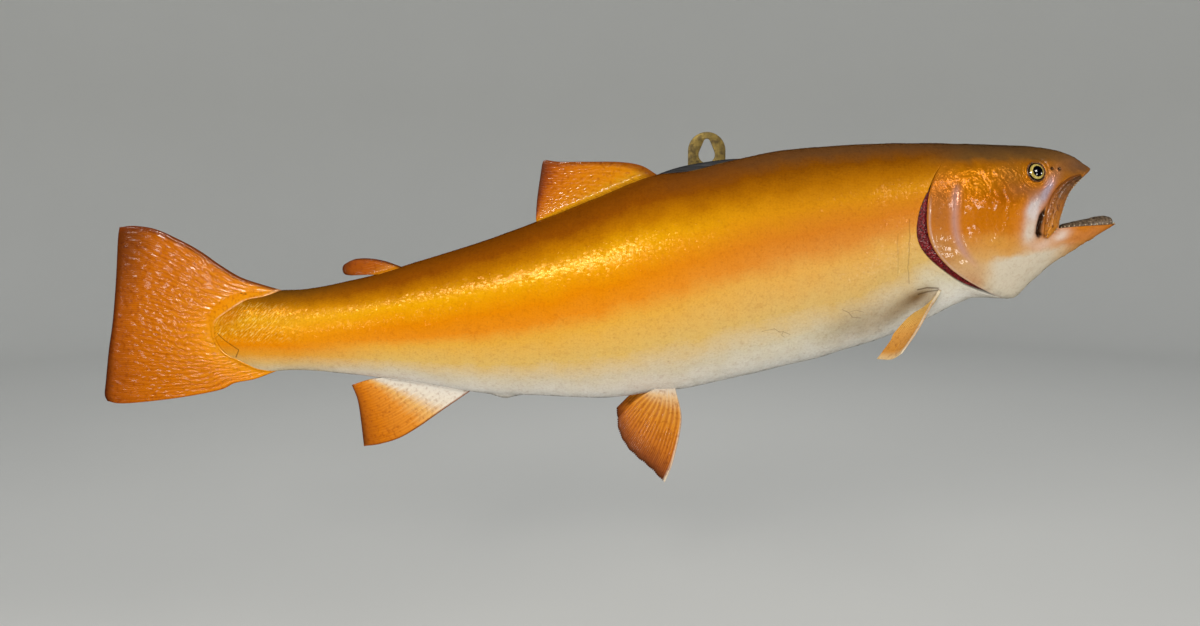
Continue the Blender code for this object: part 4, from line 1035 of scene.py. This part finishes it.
def build_back_and_belly_fins(settings):
    """The dorsal, adipose and anal fins."""
    base = root_line(-0.0175, -0.1060)
    end = (-106.2, base[-1, 2] * 1000 + 3)
    edges = fin_edges(base, ((-29, 78), (-45, 80.6), (-70, 80.8), (-89, 80.8), (-98.5, 82)),
                      ((-98.5, 82), (-101, 80), (-103.2, 67.5), (-105.3, 53), end), (end,), (60, 60, 2))
    stops = ((0, "a8700c"), (0.05, "c88c0e"), (0.15, "cc8004"), (0.60, "c47002"), (0.82, "b05c04"),
             (0.92, "883e0c"), (1, "4a2008"))
    finish = fin_finish("dorsal_orange", stops, "c08040", (0.14, "7a3c0a"), 0.15, gloss=0.55)
    build_fin("dorsal_fin", edges, (0.0028, 0.0010), 13, (0.45, 0.80), finish, settings, relief=0.35,
              fillet=0.0034, stray=0.012, lumps=0.00016)
    edges = fin_edges(root_line(-0.2060, -0.2260, count=20),
                      ((-217.9, 8.1), (-229, 10), (-238.5, 9.8), (-244, 8)),
                      ((-244, 8), (-248.5, 5), (-249.3, 1), (-247.5, -1.8), (-243, -2.6)),
                      ((-234, -2.2), (-243, -2.6)), (40, 30, 30))
    stops = ((0, "bc7408"), (0.40, "ac5a06"), (0.80, "944a06"), (1, "4a2008"))
    build_fin("adipose_fin", edges, (0.0036, 0.0018), 12, (0.3, 0.6),
              fin_finish("adipose_orange", stops, "c08a50", (0.16, "5e2c0a")), settings, (60, 90), 0.35,
              fillet=0.0016)
    edges = fin_edges(root_line(-0.1560, -0.2230, True),
                      ((-179.3, -105.4), (-194.5, -116.2), (-209.8, -125.2), (-225, -130), (-237, -131.6)),
                      ((-237, -131.6), (-238.8, -111.6), (-240.8, -96.3), (-244.8, -84.8)),
                      ((-234, -81.2), (-244.8, -84.8)), (60, 60, 30))
    stops = ((0, "d6d0c6"), (0.22, "dad0be"), (0.36, "dcac64"), (0.52, "d6882a"), (0.80, "c4700e"),
             (0.94, "a2560c"), (1, "54280c"))
    build_fin("anal_fin", edges, (0.0030, 0.0010), 12, (0.35, 0.70),
              fin_finish("anal_orange", stops, "c09060", (0.04, "8a4a14"), 0.22), settings, relief=0.6,
              fillet=0.0026, stray=0.008)


def build_tail_fin(settings):
    """The tail fin, with the stalk's skin draped over its root."""
    ends = [root_line(x, x, belly, 1) for x, belly in ((-0.2950, False), (-0.3010, True))]
    stalk = mm((-306, -17.5), (-318.5, -20), (-326, -24), (-334, -29), (-343, -36), (-345.5, -45),
               (-343.5, -54), (-336.5, -61.5), (-327.3, -65.5), (-320, -69), (-313, -72))
    base = spline(np.vstack((ends[0], in_midplane(stalk), ends[1])), 200)
    edges = fin_edges(base,
                      ((-310.8, -8.9), (-325.4, -3.7), (-339.8, 5.2), (-354.1, 15.5), (-368.5, 23.6),
                       (-386.5, 31.7), (-402, 34), (-412.5, 33)),
                      ((-412.5, 33), (-414.2, 23.6), (-417.2, -5.9), (-421.1, -35.8), (-425.3, -58.3),
                       (-428.7, -81), (-430.2, -92), (-428.5, -97)),
                      ((-317.2, -80.3), (-332.3, -83.3), (-343.8, -88.6), (-374, -94.4), (-404, -98),
                       (-420, -98.8), (-428.5, -97)), (60, 80, 60))
    stops = ((0, "d88a0c"), (0.15, "da8406"), (0.35, "cc7604"), (0.55, "c26c02"), (0.80, "b46004"),
             (0.94, "964a08"), (0.985, "602a08"), (1, "421a06"))
    # The last colour is the painted highlight along the draped lip.
    finish = fin_finish("tail_orange", stops, "b87030", (0.04, "6a2e0a"), 0.30, 0.85, 0.75, "e4ae7c")
    build_fin("tail_fin", edges, (0.0046, 0.0012), 22, (0.30, 0.58), finish, settings, (112, 420), 0.7,
              draped=True, stray=0.008, lumps=0.00034, sink=0.0020)


def build_pelvic_fins(settings):
    base = over_skin(np.linspace(-0.0035, -0.0210, 12), np.full(12, -0.0858), np.full(12, 0.0002))
    tip, heel = mm((-12.3, -79, -150.9), (-46.7, -65, -106.6))
    front = spline([base[0], *mm((0.4, -64, -101.6), (-0.2, -68, -114.1), (-5.9, -75, -136.2)), tip], 50)
    free = spline([tip, *mm((-22.8, -76, -140.5), (-31.5, -74, -133.6), (-39.4, -71, -126.1),
                            (-45.2, -68, -115.7)), heel], 60)
    rear = spline([base[-1], *mm((-33.4, -62, -93)), heel], 40)
    stops = ((0, "c8bcac"), (0.12, "d0ac7c"), (0.28, "cc8c38"), (0.48, "c67c20"), (0.74, "b4681e"),
             (0.92, "82441c"), (1, "42200e"))
    finish = fin_finish("pelvic_orange", stops, "a86a3a", (0.05, "d4c4ac"), 0.5, gloss=0.16)
    for word, turned in SIDES:
        edges = [turned(edge) for edge in (base, free, front, rear)]
        build_fin("pelvic_fin_" + word, edges, (0.0026, 0.0010), 10, (0.30, 0.60), finish, settings,
                  (80, 200), 0.8, ragged=0.0012)


def build_pectoral_fins(settings):
    """The right pectoral fin stands out; the left one is laid back against the body."""
    root_x, root_z = mm(185, 183, 180.8, 178.5), mm(-11.5, -15.5, -19.5, -23)
    stops = ((0, "e6c47c"), (0.30, "eac46c"), (0.60, "e2ac58"), (0.88, "d8983c"), (1, "dcc090"))
    finish = fin_finish("pectoral_orange", stops, "c89050", (0.12, "d8cdb4"))
    base = over_skin(root_x, root_z, np.full(4, 0.0012))
    tip, heel = mm((149.4, -105, -51.7), (138.9, -80, -59.6))
    front = spline([base[0], *mm((171.9, -87, -25), (165.6, -93, -33.5), (158.9, -98.5, -41.4)), tip], 40)
    rear = spline([base[-1], *mm((164.5, -71.5, -29.7), (152.4, -74.5, -41.6), (149, -76, -47.5)), heel], 40)
    free = spline([tip, *mm((145.3, -94, -57.5)), heel], 30)
    rest = (12, (0.35, 0.70), finish, settings, (90, 160))
    build_fin("pectoral_fin_right", (base, free, front, rear), (0.0020, 0.0010), *rest, 0.8, ragged=0.0006)
    base = over_skin(root_x, root_z, np.full(4, 0.0018))
    tip, heel, half_front, half_rear, half_free = over_skin(
        mm(144, 147, 164, 163, 141), mm(-33, -43.5, -23, -34, -39.5), mm(4.5, 4, 4, 4, 4.5))
    edges = (base, spline([tip, half_free, heel], 30), spline([base[0], half_front, tip], 40),
             spline([base[-1], half_rear, heel], 40))
    build_fin("pectoral_fin_left", [mirrored(edge) for edge in edges], (0.0026, 0.0010), *rest, 0.6,
              ragged=0.0006)


# ---- mouth and eyes ----------------------------------------------------------------
# The upper jaw's side plate from snout to heel: x, z of its middle, half width.
MAXILLA_LINE = mm((288, 70.4, 1.6), (279, 65.5, 3.6), (271, 56, 5.6), (266.7, 44.5, 5.9),
                  (264.4, 34.5, 5.1), (261.6, 26.2, 1.8))
MAXILLA_THICKNESS = 0.0018
UPPER_TEETH, LOWER_TEETH, PLACES_ALONG_JAW = 19, 13, 22
# How far from the glass eye's axis its iris ends, inside and outside.
IRIS_EDGE = (0.0052, 0.0058)


def maxilla_frames(count):
    """Middle line, direction across and half width of the upper jaw's side plate, x and z."""
    line = spline(MAXILLA_LINE, count)
    middle, half = line[:, :2], line[:, 2]
    run = np.gradient(middle, axis=0)
    return middle, unit(np.stack((run[:, 1], -run[:, 0]), -1)), half


def build_maxillas():
    finish = Finish("jaw_plate", Specular_IOR_Level=0.3, Coat_Weight=0.80, Coat_Roughness=0.07)
    _x, z = finish.side_view()
    wide, fine = finish.noise(220.0, 3.0), finish.noise(900.0)
    colour = finish.ramp((z - 0.026) * 22.0 + (wide - 0.5) * 0.5,
                         ((0, "c47c1e"), (0.45, "985a16"), (0.7, "70441a"), (1, "4e3016")))
    colour = finish.coats(colour, (finish.number("share").between(0.30, 0.75) * 0.5, "8c4c14"),
                          (finish.noise(480.0).between(0.56, 0.66) * 0.75, "5a2c0a"))
    finish.bumps((wide, 0.0008), (fine, 0.0004))
    finish.finished(Base_Color=colour, Roughness=0.3)
    middle, across, half = maxilla_frames(120)
    share = np.linspace(-1, 1, 31)
    x, z = np.moveaxis(middle[:, None] + across[:, None] * half[:, None, None] * share[:, None], -1, 0)
    on_skin = skin_point(*place_on_skin(x, z))[..., 1]
    flat = np.stack((x, 0 * x, z), -1)
    crown = 1 - 0.5 * share ** 2 + 0.22 * bell(share - 0.62, 0.22) - 0.30 * bell(share - 0.24, 0.12)
    beads = np.maximum(grain(flat, 0.0017, 14.0), 0) * fade(0.0, 0.4, share)
    rise = MAXILLA_THICKNESS * crown * np.sqrt(np.clip((1 - np.abs(share)) / 0.10, 0.03, 1))
    rise = rise * (1 + 0.10 * grain(flat, 0.0028, 4.0) + 0.40 * beads)
    points, faces = closed_plate(np.stack((x, on_skin - rise - 0.0001, z), -1),
                                 np.stack((x, on_skin + 0.0012, z), -1))
    numbers = {"share": np.tile(np.broadcast_to(share, rise.shape).ravel(), 2)}
    for word, turned in SIDES:
        new_piece("jaw_plate_" + word, turned(points), faces, finish.material, "jaw_plate",
                  ("maxilla_" + word,), numbers)


def tooth_cone(foot, tip, radius):
    """Points and faces of a slightly rounded tooth."""
    run = unit(tip - foot)
    first = unit(np.cross(run, (0.3, 1.0, 0.2)))
    second = np.cross(run, first)
    turns = full_turn(8)[:, None]
    circle = (np.cos(turns) * first + np.sin(turns) * second) * radius
    profile = ((0.0, 0.0), (0.0, 1.0), (0.45, 0.86), (0.80, 0.52), (0.95, 0.26), (1.0, 0.0))
    rows = [foot + (tip - foot) * t + circle * breadth for t, breadth in profile]
    return np.array(rows).reshape(-1, 3), grid_faces(len(rows), 8, closed=True)


def build_teeth(settings):
    """Small teeth along both jaws."""
    finish = Finish("tooth", Roughness=0.25, **GLOSSY_VARNISH)
    colour = finish.ramp(finish.noise(1500.0), ((0.3, "8a6a48"), (0.6, "d8c8a4")))
    finish.bumps((finish.noise(2500.0), 0.0002))
    finish.finished(Base_Color=colour)
    teeth = []
    for centre, side, breadth in list(zip(*maxilla_frames(PLACES_ALONG_JAW)))[:UPPER_TEETH]:
        x, z = centre - side * breadth * 0.93
        foot = np.array((x, skin_point(*place_on_skin(x, z))[1] - 0.0004, z))
        down = np.array((side[0] * settings.tooth, -0.0002, side[1] * settings.tooth + 0.0003))
        teeth.append(tooth_cone(foot, foot - down, 0.00045))
    for turn in np.linspace(np.pi * 0.62, np.pi * 0.97, LOWER_TEETH):
        lip = skin_point(MOUTH_X, turn) + np.array((-0.4 * LIP, LIP * math.sin(turn) * 0.7, 0.0003))
        teeth.append(tooth_cone(lip, lip + np.array((0.0002, 0.0003, settings.tooth)), 0.00042))
    points = np.concatenate([tooth for tooth, _faces in teeth])
    faces = np.concatenate([faces + i * len(tooth) for i, (tooth, faces) in enumerate(teeth)])
    for word, turned in SIDES:
        new_piece("teeth_" + word, turned(points), faces, finish.material, "jaw_plate", (), merge=1e-7)


# The tongue from root to tip: x, z of its top, half width.
TONGUE_LINE = mm((280, 35, 5), (288, 37.2, 6.2), (297, 38.8, 7), (305, 40.6, 7.2), (310.5, 41.4, 6.6),
                 (315, 40.6, 4.8), (317.2, 38, 1.2))


def build_tongue():
    browns = ((0.30, "3a2c22"), (0.52, "6a5844"), (0.75, "8f7c66"))
    finish = lumpy_finish("tongue_brown", 500.0, 3.0, browns, 0.0010, 0.3)
    floor = mouth_rows(np.array((np.pi,)))[5:, 0]
    floor = floor[np.argsort(floor[:, 0])]
    turns = full_turn(40)
    x, top, half = spline(TONGUE_LINE, 56).T[..., None]
    bottom = np.interp(x, floor[:, 0], floor[:, 2]) - 0.0004
    rings = np.stack((x + 0 * turns, MIDPLANE_Y - half * np.sin(turns),
                      bottom + (top - bottom) * (0.5 + 0.5 * np.cos(turns))), -1)
    lumps = grain(rings, 0.0022, 8.0) * 0.00035 + grain(rings, 0.006, 9.0) * 0.0004
    rings[..., 2] += lumps * (np.cos(turns) > -0.2)
    new_piece("painted_tongue", *closed_tube(rings), finish, "tongue", ("tongue",), merge=1e-7)


def build_eyes(settings):
    """Glass eyes with a gold iris, each in a dark rim."""
    finish = Finish("glass_eye", Roughness=0.12, Specular_IOR_Level=0.6, Coat_Weight=1.0, Coat_Roughness=0.02)
    streak = finish.noise(1400.0, 3.0)
    edge = finish.number("away") + (streak - 0.5) * 0.00035
    iris = finish.ramp(streak, ((0.30, "86702c"), (0.50, "b8a352"), (0.72, "dccb84")))
    colour = finish.blend(edge.between(settings.pupil - 0.00016, settings.pupil + 0.00016), "04040a", iris)
    finish.finished(Base_Color=finish.blend(edge.between(*IRIS_EDGE), colour, "0a0806"))
    rim_finish = lumpy_finish("eye_rim", 600.0, 2.0, ((0.35, "3a2210"), (0.65, "84501f")), 0.0005, 0.3)
    side_x, turn = place_on_skin(EYE_X, EYE_Z)
    outward = skin_normal(side_x, turn)
    centre = skin_point(side_x, turn) - outward * EYE_SINK
    first = unit(np.cross(outward, (0.0, 0.0, 1.0)))
    second = np.cross(outward, first)

    def round_eye(reach, lift, count):
        """Rings about the eye's axis."""
        spin = full_turn(count)[:, None]
        return centre + (np.cos(spin) * first + np.sin(spin) * second) * reach[:, None, None] + (
            outward * lift[:, None, None])

    tilt, bead = np.linspace(0, np.pi, 61), full_turn(20)
    ball = round_eye(EYE_RADIUS * np.sin(tilt), EYE_DEPTH * np.cos(tilt), 96)
    rim = round_eye(EYE_RADIUS + 0.00005 + 0.00055 * np.cos(bead),
                    EYE_SINK + 0.00015 + 0.00075 * np.sin(bead), 120)
    away = {"away": np.repeat(EYE_RADIUS * np.sin(tilt), 96)}
    ball_faces, rim_faces = grid_faces(61, 96, closed=True), grid_faces(21, 120, closed=True) % (20 * 120)
    for word, turned in SIDES:
        new_piece("glass_eye_" + word, turned(ball), ball_faces, finish.material, "glass_eye",
                  ("eye_" + word,), away, merge=1e-7)
        new_piece("eye_rim_" + word, turned(rim), rim_faces, rim_finish, "golden_skin")


# ---- board and hanger --------------------------------------------------------------
BOARD_OUTLINE = mm(
    (-150, -28), (-133, 5), (-90, 33), (-45, 56), (-11.1, 73.1), (20, 80.8), (55, 83.5), (105, 78), (148, 56),
    (158, 25), (140, -10), (85, -41), (15, -61), (-60, -70), (-120, -62),
)
BOARD_THICKNESS, BOARD_EASE = -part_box("back_board")[0].y, 0.0015
HANGER_LOW, HANGER_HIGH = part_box("hanger_plate")
HANGER_X = (HANGER_LOW.x + HANGER_HIGH.x) / 2
HANGER_RADIUS = (HANGER_HIGH.x - HANGER_LOW.x) / 2
HANGER_THICKNESS, HANGER_EASE = HANGER_HIGH.y - HANGER_LOW.y, 0.00025
KEYHOLE_Z, KEYHOLE_RADIUS, SLOT_Z, SLOT_RADIUS = 0.0868, 0.0063, 0.0963, 0.0026


def arc(height, radius, start, sweep, steps):
    """Points in x and z round a centre in the hanger's middle."""
    turns = [start + sweep * k / steps for k in range(steps + 1)]
    return [(HANGER_X + radius * math.cos(turn), height + radius * math.sin(turn)) for turn in turns]


def hanger_outline(margin):
    """Arch of the hanger plate: straight sides and a half-round top."""
    reach, foot = HANGER_RADIUS + margin, HANGER_LOW.z - margin
    return arc(HANGER_HIGH.z - HANGER_RADIUS, reach, 0, math.pi, 48) + [
        (HANGER_X - reach, foot), (HANGER_X + reach, foot)]


def keyhole_outline(margin):
    """Drop-shaped hole: wide below for the nail's head, narrow above for its shank."""
    leave = math.acos((KEYHOLE_RADIUS - SLOT_RADIUS) / (SLOT_Z - KEYHOLE_Z))
    upright = math.pi / 2
    return (arc(KEYHOLE_Z, KEYHOLE_RADIUS + margin, upright + leave, 2 * (math.pi - leave), 40)
            + arc(SLOT_Z, SLOT_RADIUS + margin, upright - leave, 2 * leave, 16))


def evaluated(obj):
    """Mesh of an object with its modifiers or bevels applied."""
    return bpy.data.meshes.new_from_object(obj.evaluated_get(bpy.context.evaluated_depsgraph_get()))


def cut_plate(name, outlines, y_front, y_back, ease):
    """Mesh of a flat plate with eased edges from outlines of x and z; the later ones are holes."""
    curve = bpy.data.curves.new(name, "CURVE")
    curve.dimensions, curve.fill_mode = "2D", "BOTH"
    curve.extrude, curve.bevel_depth, curve.bevel_resolution = (y_back - y_front) / 2 - ease, ease, 3
    for outline in outlines:
        loop = curve.splines.new("POLY")
        loop.points.add(len(outline) - 1)
        loop.points.foreach_set("co", [number for x, z in outline for number in (x, z, 0, 1)])
        loop.use_cyclic_u = True
    guide = linked(name, curve)
    mesh = evaluated(guide)
    bpy.data.objects.remove(guide)
    points = np.zeros(len(mesh.vertices) * 3)
    mesh.vertices.foreach_get("co", points)
    across, up, depth = points.reshape(-1, 3).T
    mesh.vertices.foreach_set("co", np.stack((across, (y_front + y_back) / 2 - depth, up), -1).ravel())
    tidied(mesh, 1e-6)
    mesh.set_sharp_from_angle(angle=math.radians(40))
    return mesh


def build_board(settings):
    """Dark stained board with a recess for the hanger."""
    finish = Finish("slate_wood", Specular_IOR_Level=0.4)
    streaks = finish.noise(4.0, 4.0, 0.6, at=finish.stretched(6.0, 60.0, 90.0))
    pores = finish.noise(3.0, at=finish.stretched(40.0, 300.0, 420.0))
    tones = ((0.30, settings.wood_dark), (0.55, settings.wood), (0.75, settings.wood_worn))
    colour = finish.ramp(streaks, tones)
    finish.bumps((streaks, 0.0010), (pores, 0.0005))
    finish.finished(Base_Color=colour, Roughness=0.45 + (1 - streaks) * 0.25)
    outline = spline(BOARD_OUTLINE, 240, closed=True)
    run = unit(np.roll(outline, -1, 0) - np.roll(outline, 1, 0))
    inward = outline + np.stack((run[:, 1], -run[:, 0]), -1) * BOARD_EASE
    mesh = cut_plate("back_board", [inward.tolist()], -BOARD_THICKNESS, 0.0, BOARD_EASE)
    board = present("board", mesh, finish.material, ("back_board",))
    recess = cut_plate("recess", [hanger_outline(0.0001)], -HANGER_THICKNESS - 0.0002, 0.004, 0.0001)
    cutter = linked("recess", recess)
    cut = board.modifiers.new("recess", "BOOLEAN")
    cut.operation, cut.solver, cut.object = "DIFFERENCE", "EXACT", cutter
    made = evaluated(board)
    board.modifiers.clear()
    board.data = made
    bpy.data.objects.remove(cutter)


def build_hanger(settings):
    """Brass keyhole hanger and its two slotted screws."""
    finish = Finish("aged_brass", Metallic=0.7, Specular_IOR_Level=0.5)
    cloud, scratch = finish.noise(260.0, 4.0), finish.noise(300.0, at=finish.stretched(1, 1, 14))
    colour = finish.blend(cloud.between(0.40, 0.68), settings.brass, settings.tarnish)
    finish.bumps((cloud, 0.0002), (scratch, 0.0001))
    finish.finished(Base_Color=colour, Roughness=0.28 + cloud * 0.30)
    outlines = [hanger_outline(-HANGER_EASE), keyhole_outline(HANGER_EASE)]
    mesh = cut_plate("hanger_plate", outlines, HANGER_LOW.y, HANGER_HIGH.y, HANGER_EASE)
    present("hanger", mesh, finish.material, ("hanger_plate",))
    spin = full_turn(72)
    for number in (1, 2):
        low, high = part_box(f"hanger_screw_{number}")
        centre, radius = (low + high) / 2, (high.x - low.x) / 2
        profile = [(share, high.y + 0.0002 * (1 - share ** 2)) for share in np.linspace(0.02, 1, 30)]
        profile += [(0.97, high.y - 0.0004), (0.60, high.y - 0.0020), (0.55, low.y + 0.001), (0.03, low.y)]
        share, y = np.array(profile).T[..., None]
        x, z = radius * share * np.cos(spin), radius * share * np.sin(spin)
        slanted = x * math.cos(0.5 * number) + z * math.sin(0.5 * number)
        slot = fade(0.00052, 0.00040, np.abs(slanted)) * 0.0008 * (y > high.y - 0.0003)
        rings = np.stack((centre.x + x, y - slot, centre.z + z), -1)
        new_piece(f"screw_{number}", *closed_tube(rings), finish.material, "brass",
                  (f"hanger_screw_{number}",), merge=1e-7)


# ---- stage -------------------------------------------------------------------------
# Lights: place, width and height, share of the key light's power.
LIGHTS = {
    "key": ((-0.45, -1.30, 0.46), (0.60, 0.11), 1.0),
    "fill": ((0.90, -1.20, 0.80), (0.40, 0.26), 0.35),
    "tail glint": ((-0.95, -1.15, 0.36), (0.12, 0.12), 0.07),
    "head glint": ((0.86, -1.04, 0.14), (0.12, 0.12), 0.08),
    "low tail glint": ((-0.80, -1.20, -0.12), (0.12, 0.12), 0.05),
    "cheek glint": ((0.75, -1.00, -0.30), (0.10, 0.10), 0.06),
    "snout glint": ((1.30, -0.30, 0.20), (0.12, 0.12), 0.06),
    "back": ((0.40, 1.60, 1.10), (1.20, 0.80), 0.40),
}
LIGHT_TARGET = Vector((-0.05, -0.04, 0.0))
LIGHT_COLOUR, SKY_COLOUR = (1.0, 0.955, 0.90), (0.93, 0.96, 1.0, 1)
CAMERA_PLACE, CAMERA_DIP = (-0.0591, -0.8568, 0.0690), math.radians(7)
LENS, SENSOR = 33.0, 36.0
# The floor is flat out to a radius, bends up and ends as a wall.
FLOOR_REACH, FLOOR_BEND, WALL_HEIGHT = 2.8, 0.8, 2.4


def build_floor(settings):
    """Pale floor that sweeps up far round the fish."""
    finish = Finish("pale_floor", Roughness=0.9, Specular_IOR_Level=0.1)
    colour = finish.blend(finish.noise(3.0, 3.0), tuple(0.97 * part for part in settings.floor),
                          tuple(settings.floor))
    finish.finished(Base_Color=colour)
    profile = [(0.001, 0.0), (FLOOR_REACH / 2, 0.0), (FLOOR_REACH, 0.0)]
    profile += [(FLOOR_REACH + FLOOR_BEND * math.sin(turn), FLOOR_BEND - FLOOR_BEND * math.cos(turn))
                for turn in np.linspace(0.1, math.pi / 2, 14)]
    profile.append((FLOOR_REACH + FLOOR_BEND, WALL_HEIGHT))
    reach, rise = np.array(profile).T[..., None]
    spin = full_turn(96)
    rows = np.stack((reach * np.cos(spin), reach * np.sin(spin), rise + settings.floor_z + 0 * spin), -1)
    mesh = bpy.data.meshes.new("floor")
    mesh.from_pydata(rows.reshape(-1, 3).tolist(), [], grid_faces(len(rows), 96, closed=True).tolist())
    mesh.shade_smooth()
    mesh.materials.append(finish.material)
    floor = linked("floor", mesh)
    floor.visible_glossy = False


def build_stage(settings):
    """The floor, soft lights and the camera."""
    build_floor(settings)
    for name, (place, (width, height), share) in LIGHTS.items():
        light = bpy.data.lights.new(name, "AREA")
        light.shape, light.size, light.size_y = "RECTANGLE", width, height
        light.energy, light.color = settings.key_power * share, LIGHT_COLOUR
        lamp = linked(name, light)
        lamp.location = place
        lamp.rotation_euler = (LIGHT_TARGET - Vector(place)).to_track_quat("-Z", "Y").to_euler()
        lamp.visible_glossy = name != "back"
    scene = bpy.context.scene
    scene.world = world = bpy.data.worlds.new("studio")
    world.use_nodes = True
    sky = world.node_tree.nodes["Background"].inputs
    sky["Color"].default_value, sky["Strength"].default_value = SKY_COLOUR, settings.ambient
    world.cycles_visibility.glossy = False
    scene.view_settings.view_transform = "Standard"
    lens = bpy.data.cameras.new("camera")
    lens.lens, lens.sensor_width = LENS, SENSOR
    scene.camera = camera = linked("camera", lens)
    camera.location, camera.rotation_euler = CAMERA_PLACE, (math.pi / 2 - CAMERA_DIP, 0, 0)


# ---- the add-on --------------------------------------------------------------------
def length(name, description, default):
    return FloatProperty(name=name, description=description, default=default, unit="LENGTH", precision=5)


def colour(name, description, code):
    return FloatVectorProperty(name=name, description=description, default=tone(code), subtype="COLOR",
                               min=0, max=1)


class TroutSkinSettings(bpy.types.PropertyGroup):
    columns: IntProperty(name="Columns", description="Points round the body", default=280, min=60)
    coat_depth: length("Coat depth", "How far the skin lies under the crowns of the scales", 0.00013)


class TroutScaleSettings(bpy.types.PropertyGroup):
    length: length("Length", "Distance between scale rows along the body", 0.0023)
    width: length("Width", "Distance between scales round the body", 0.0021)
    rise: length("Rise", "Height of a scale's crown over its rim", 0.00006)


class TroutFinSettings(bpy.types.PropertyGroup):
    ray_height: length("Ray height", "How far the fin rays stand out of the fin", 0.00028)
    joints: IntProperty(name="Joints", description="Joints along each fin ray", default=44, min=1)


class TroutMouthSettings(bpy.types.PropertyGroup):
    tooth: length("Tooth", "How far a tooth stands out", 0.0011)


class TroutEyeSettings(bpy.types.PropertyGroup):
    pupil: length("Pupil", "Radius of the black pupil", 0.0040)


class TroutMountSettings(bpy.types.PropertyGroup):
    wood: colour("Wood", "Main colour of the stained board", "26282c")
    wood_dark: colour("Dark grain", "Colour of the board's dark grain", "17181b")
    wood_worn: colour("Worn grain", "Colour of the board's worn grain", "46484c")
    brass: colour("Brass", "Colour of the clean brass", "86723a")
    tarnish: colour("Tarnish", "Colour of the tarnished brass", "584a2a")


class TroutStageSettings(bpy.types.PropertyGroup):
    floor: colour("Floor", "Colour of the pale floor", "d6d6d2")
    floor_z: length("Floor height", "Height of the floor under the hanging fish", -0.45)
    key_power: FloatProperty(name="Key light", description="Power of the main light in watts",
                             default=12.5, min=0)
    ambient: FloatProperty(name="Ambient", description="Strength of the light all round",
                           default=0.58, min=0)


class TROUT_OT_skin(bpy.types.Operator):
    """Make the one skin of body, head and mouth, and the gills under it"""

    bl_idname, bl_label = "trout.skin", "Skin and Gills"

    def execute(self, context):
        build_skin(context.scene.trout_skin)
        build_gills()
        return {"FINISHED"}


class TROUT_OT_scales(bpy.types.Operator):
    """Make the coat of small scales over trunk and stalk"""

    bl_idname, bl_label = "trout.scales", "Scales"

    def execute(self, context):
        build_scales(context.scene.trout_scales)
        return {"FINISHED"}


class TROUT_OT_fins(bpy.types.Operator):
    """Make the dorsal, adipose, anal, tail, pelvic and pectoral fins"""

    bl_idname, bl_label = "trout.fins", "Fins"

    def execute(self, context):
        for build in (build_back_and_belly_fins, build_tail_fin, build_pelvic_fins, build_pectoral_fins):
            build(context.scene.trout_fins)
        return {"FINISHED"}


class TROUT_OT_mouth(bpy.types.Operator):
    """Make the jaw plates, teeth and tongue"""

    bl_idname, bl_label = "trout.mouth", "Mouth"

    def execute(self, context):
        build_maxillas()
        build_teeth(context.scene.trout_mouth)
        build_tongue()
        return {"FINISHED"}


class TROUT_OT_eyes(bpy.types.Operator):
    """Make the glass eyes and their rims"""

    bl_idname, bl_label = "trout.eyes", "Eyes"

    def execute(self, context):
        build_eyes(context.scene.trout_eyes)
        return {"FINISHED"}


class TROUT_OT_mount(bpy.types.Operator):
    """Make the board, the hanger and its screws"""

    bl_idname, bl_label = "trout.mount", "Board and Hanger"

    def execute(self, context):
        build_board(context.scene.trout_mount)
        build_hanger(context.scene.trout_mount)
        return {"FINISHED"}


class TROUT_OT_stage(bpy.types.Operator):
    """Make the floor, the lights and the camera"""

    bl_idname, bl_label = "trout.stage", "Stage"

    def execute(self, context):
        build_stage(context.scene.trout_stage)
        return {"FINISHED"}


class TROUT_PT_makers(bpy.types.Panel):
    """Lists the makers with their settings"""

    bl_idname, bl_label = "TROUT_PT_makers", "Mounted Golden Trout"
    bl_space_type, bl_region_type, bl_category = "VIEW_3D", "UI", "Trout"

    def draw(self, context):
        for maker, word, _group in MAKERS:
            box = self.layout.box()
            box.operator(maker.bl_idname)
            settings = getattr(context.scene, word)
            for setting in settings.__annotations__:
                box.prop(settings, setting)


# The makers in the order of their work, each with the name and the kind of its settings.
MAKERS = (
    (TROUT_OT_stage, "trout_stage", TroutStageSettings), (TROUT_OT_skin, "trout_skin", TroutSkinSettings),
    (TROUT_OT_scales, "trout_scales", TroutScaleSettings), (TROUT_OT_fins, "trout_fins", TroutFinSettings),
    (TROUT_OT_mouth, "trout_mouth", TroutMouthSettings), (TROUT_OT_eyes, "trout_eyes", TroutEyeSettings),
    (TROUT_OT_mount, "trout_mount", TroutMountSettings),
)


def register():
    for maker, word, group in MAKERS:
        bpy.utils.register_class(group)
        setattr(bpy.types.Scene, word, PointerProperty(type=group))
        bpy.utils.register_class(maker)
    bpy.utils.register_class(TROUT_PT_makers)


def unregister():
    bpy.utils.unregister_class(TROUT_PT_makers)
    for maker, word, group in MAKERS:
        bpy.utils.unregister_class(maker)
        delattr(bpy.types.Scene, word)
        bpy.utils.unregister_class(group)


def main():
    register()
    for _maker, word, _group in MAKERS:
        getattr(bpy.ops.trout, word.removeprefix("trout_"))()


if __name__ == "__main__":
    main()
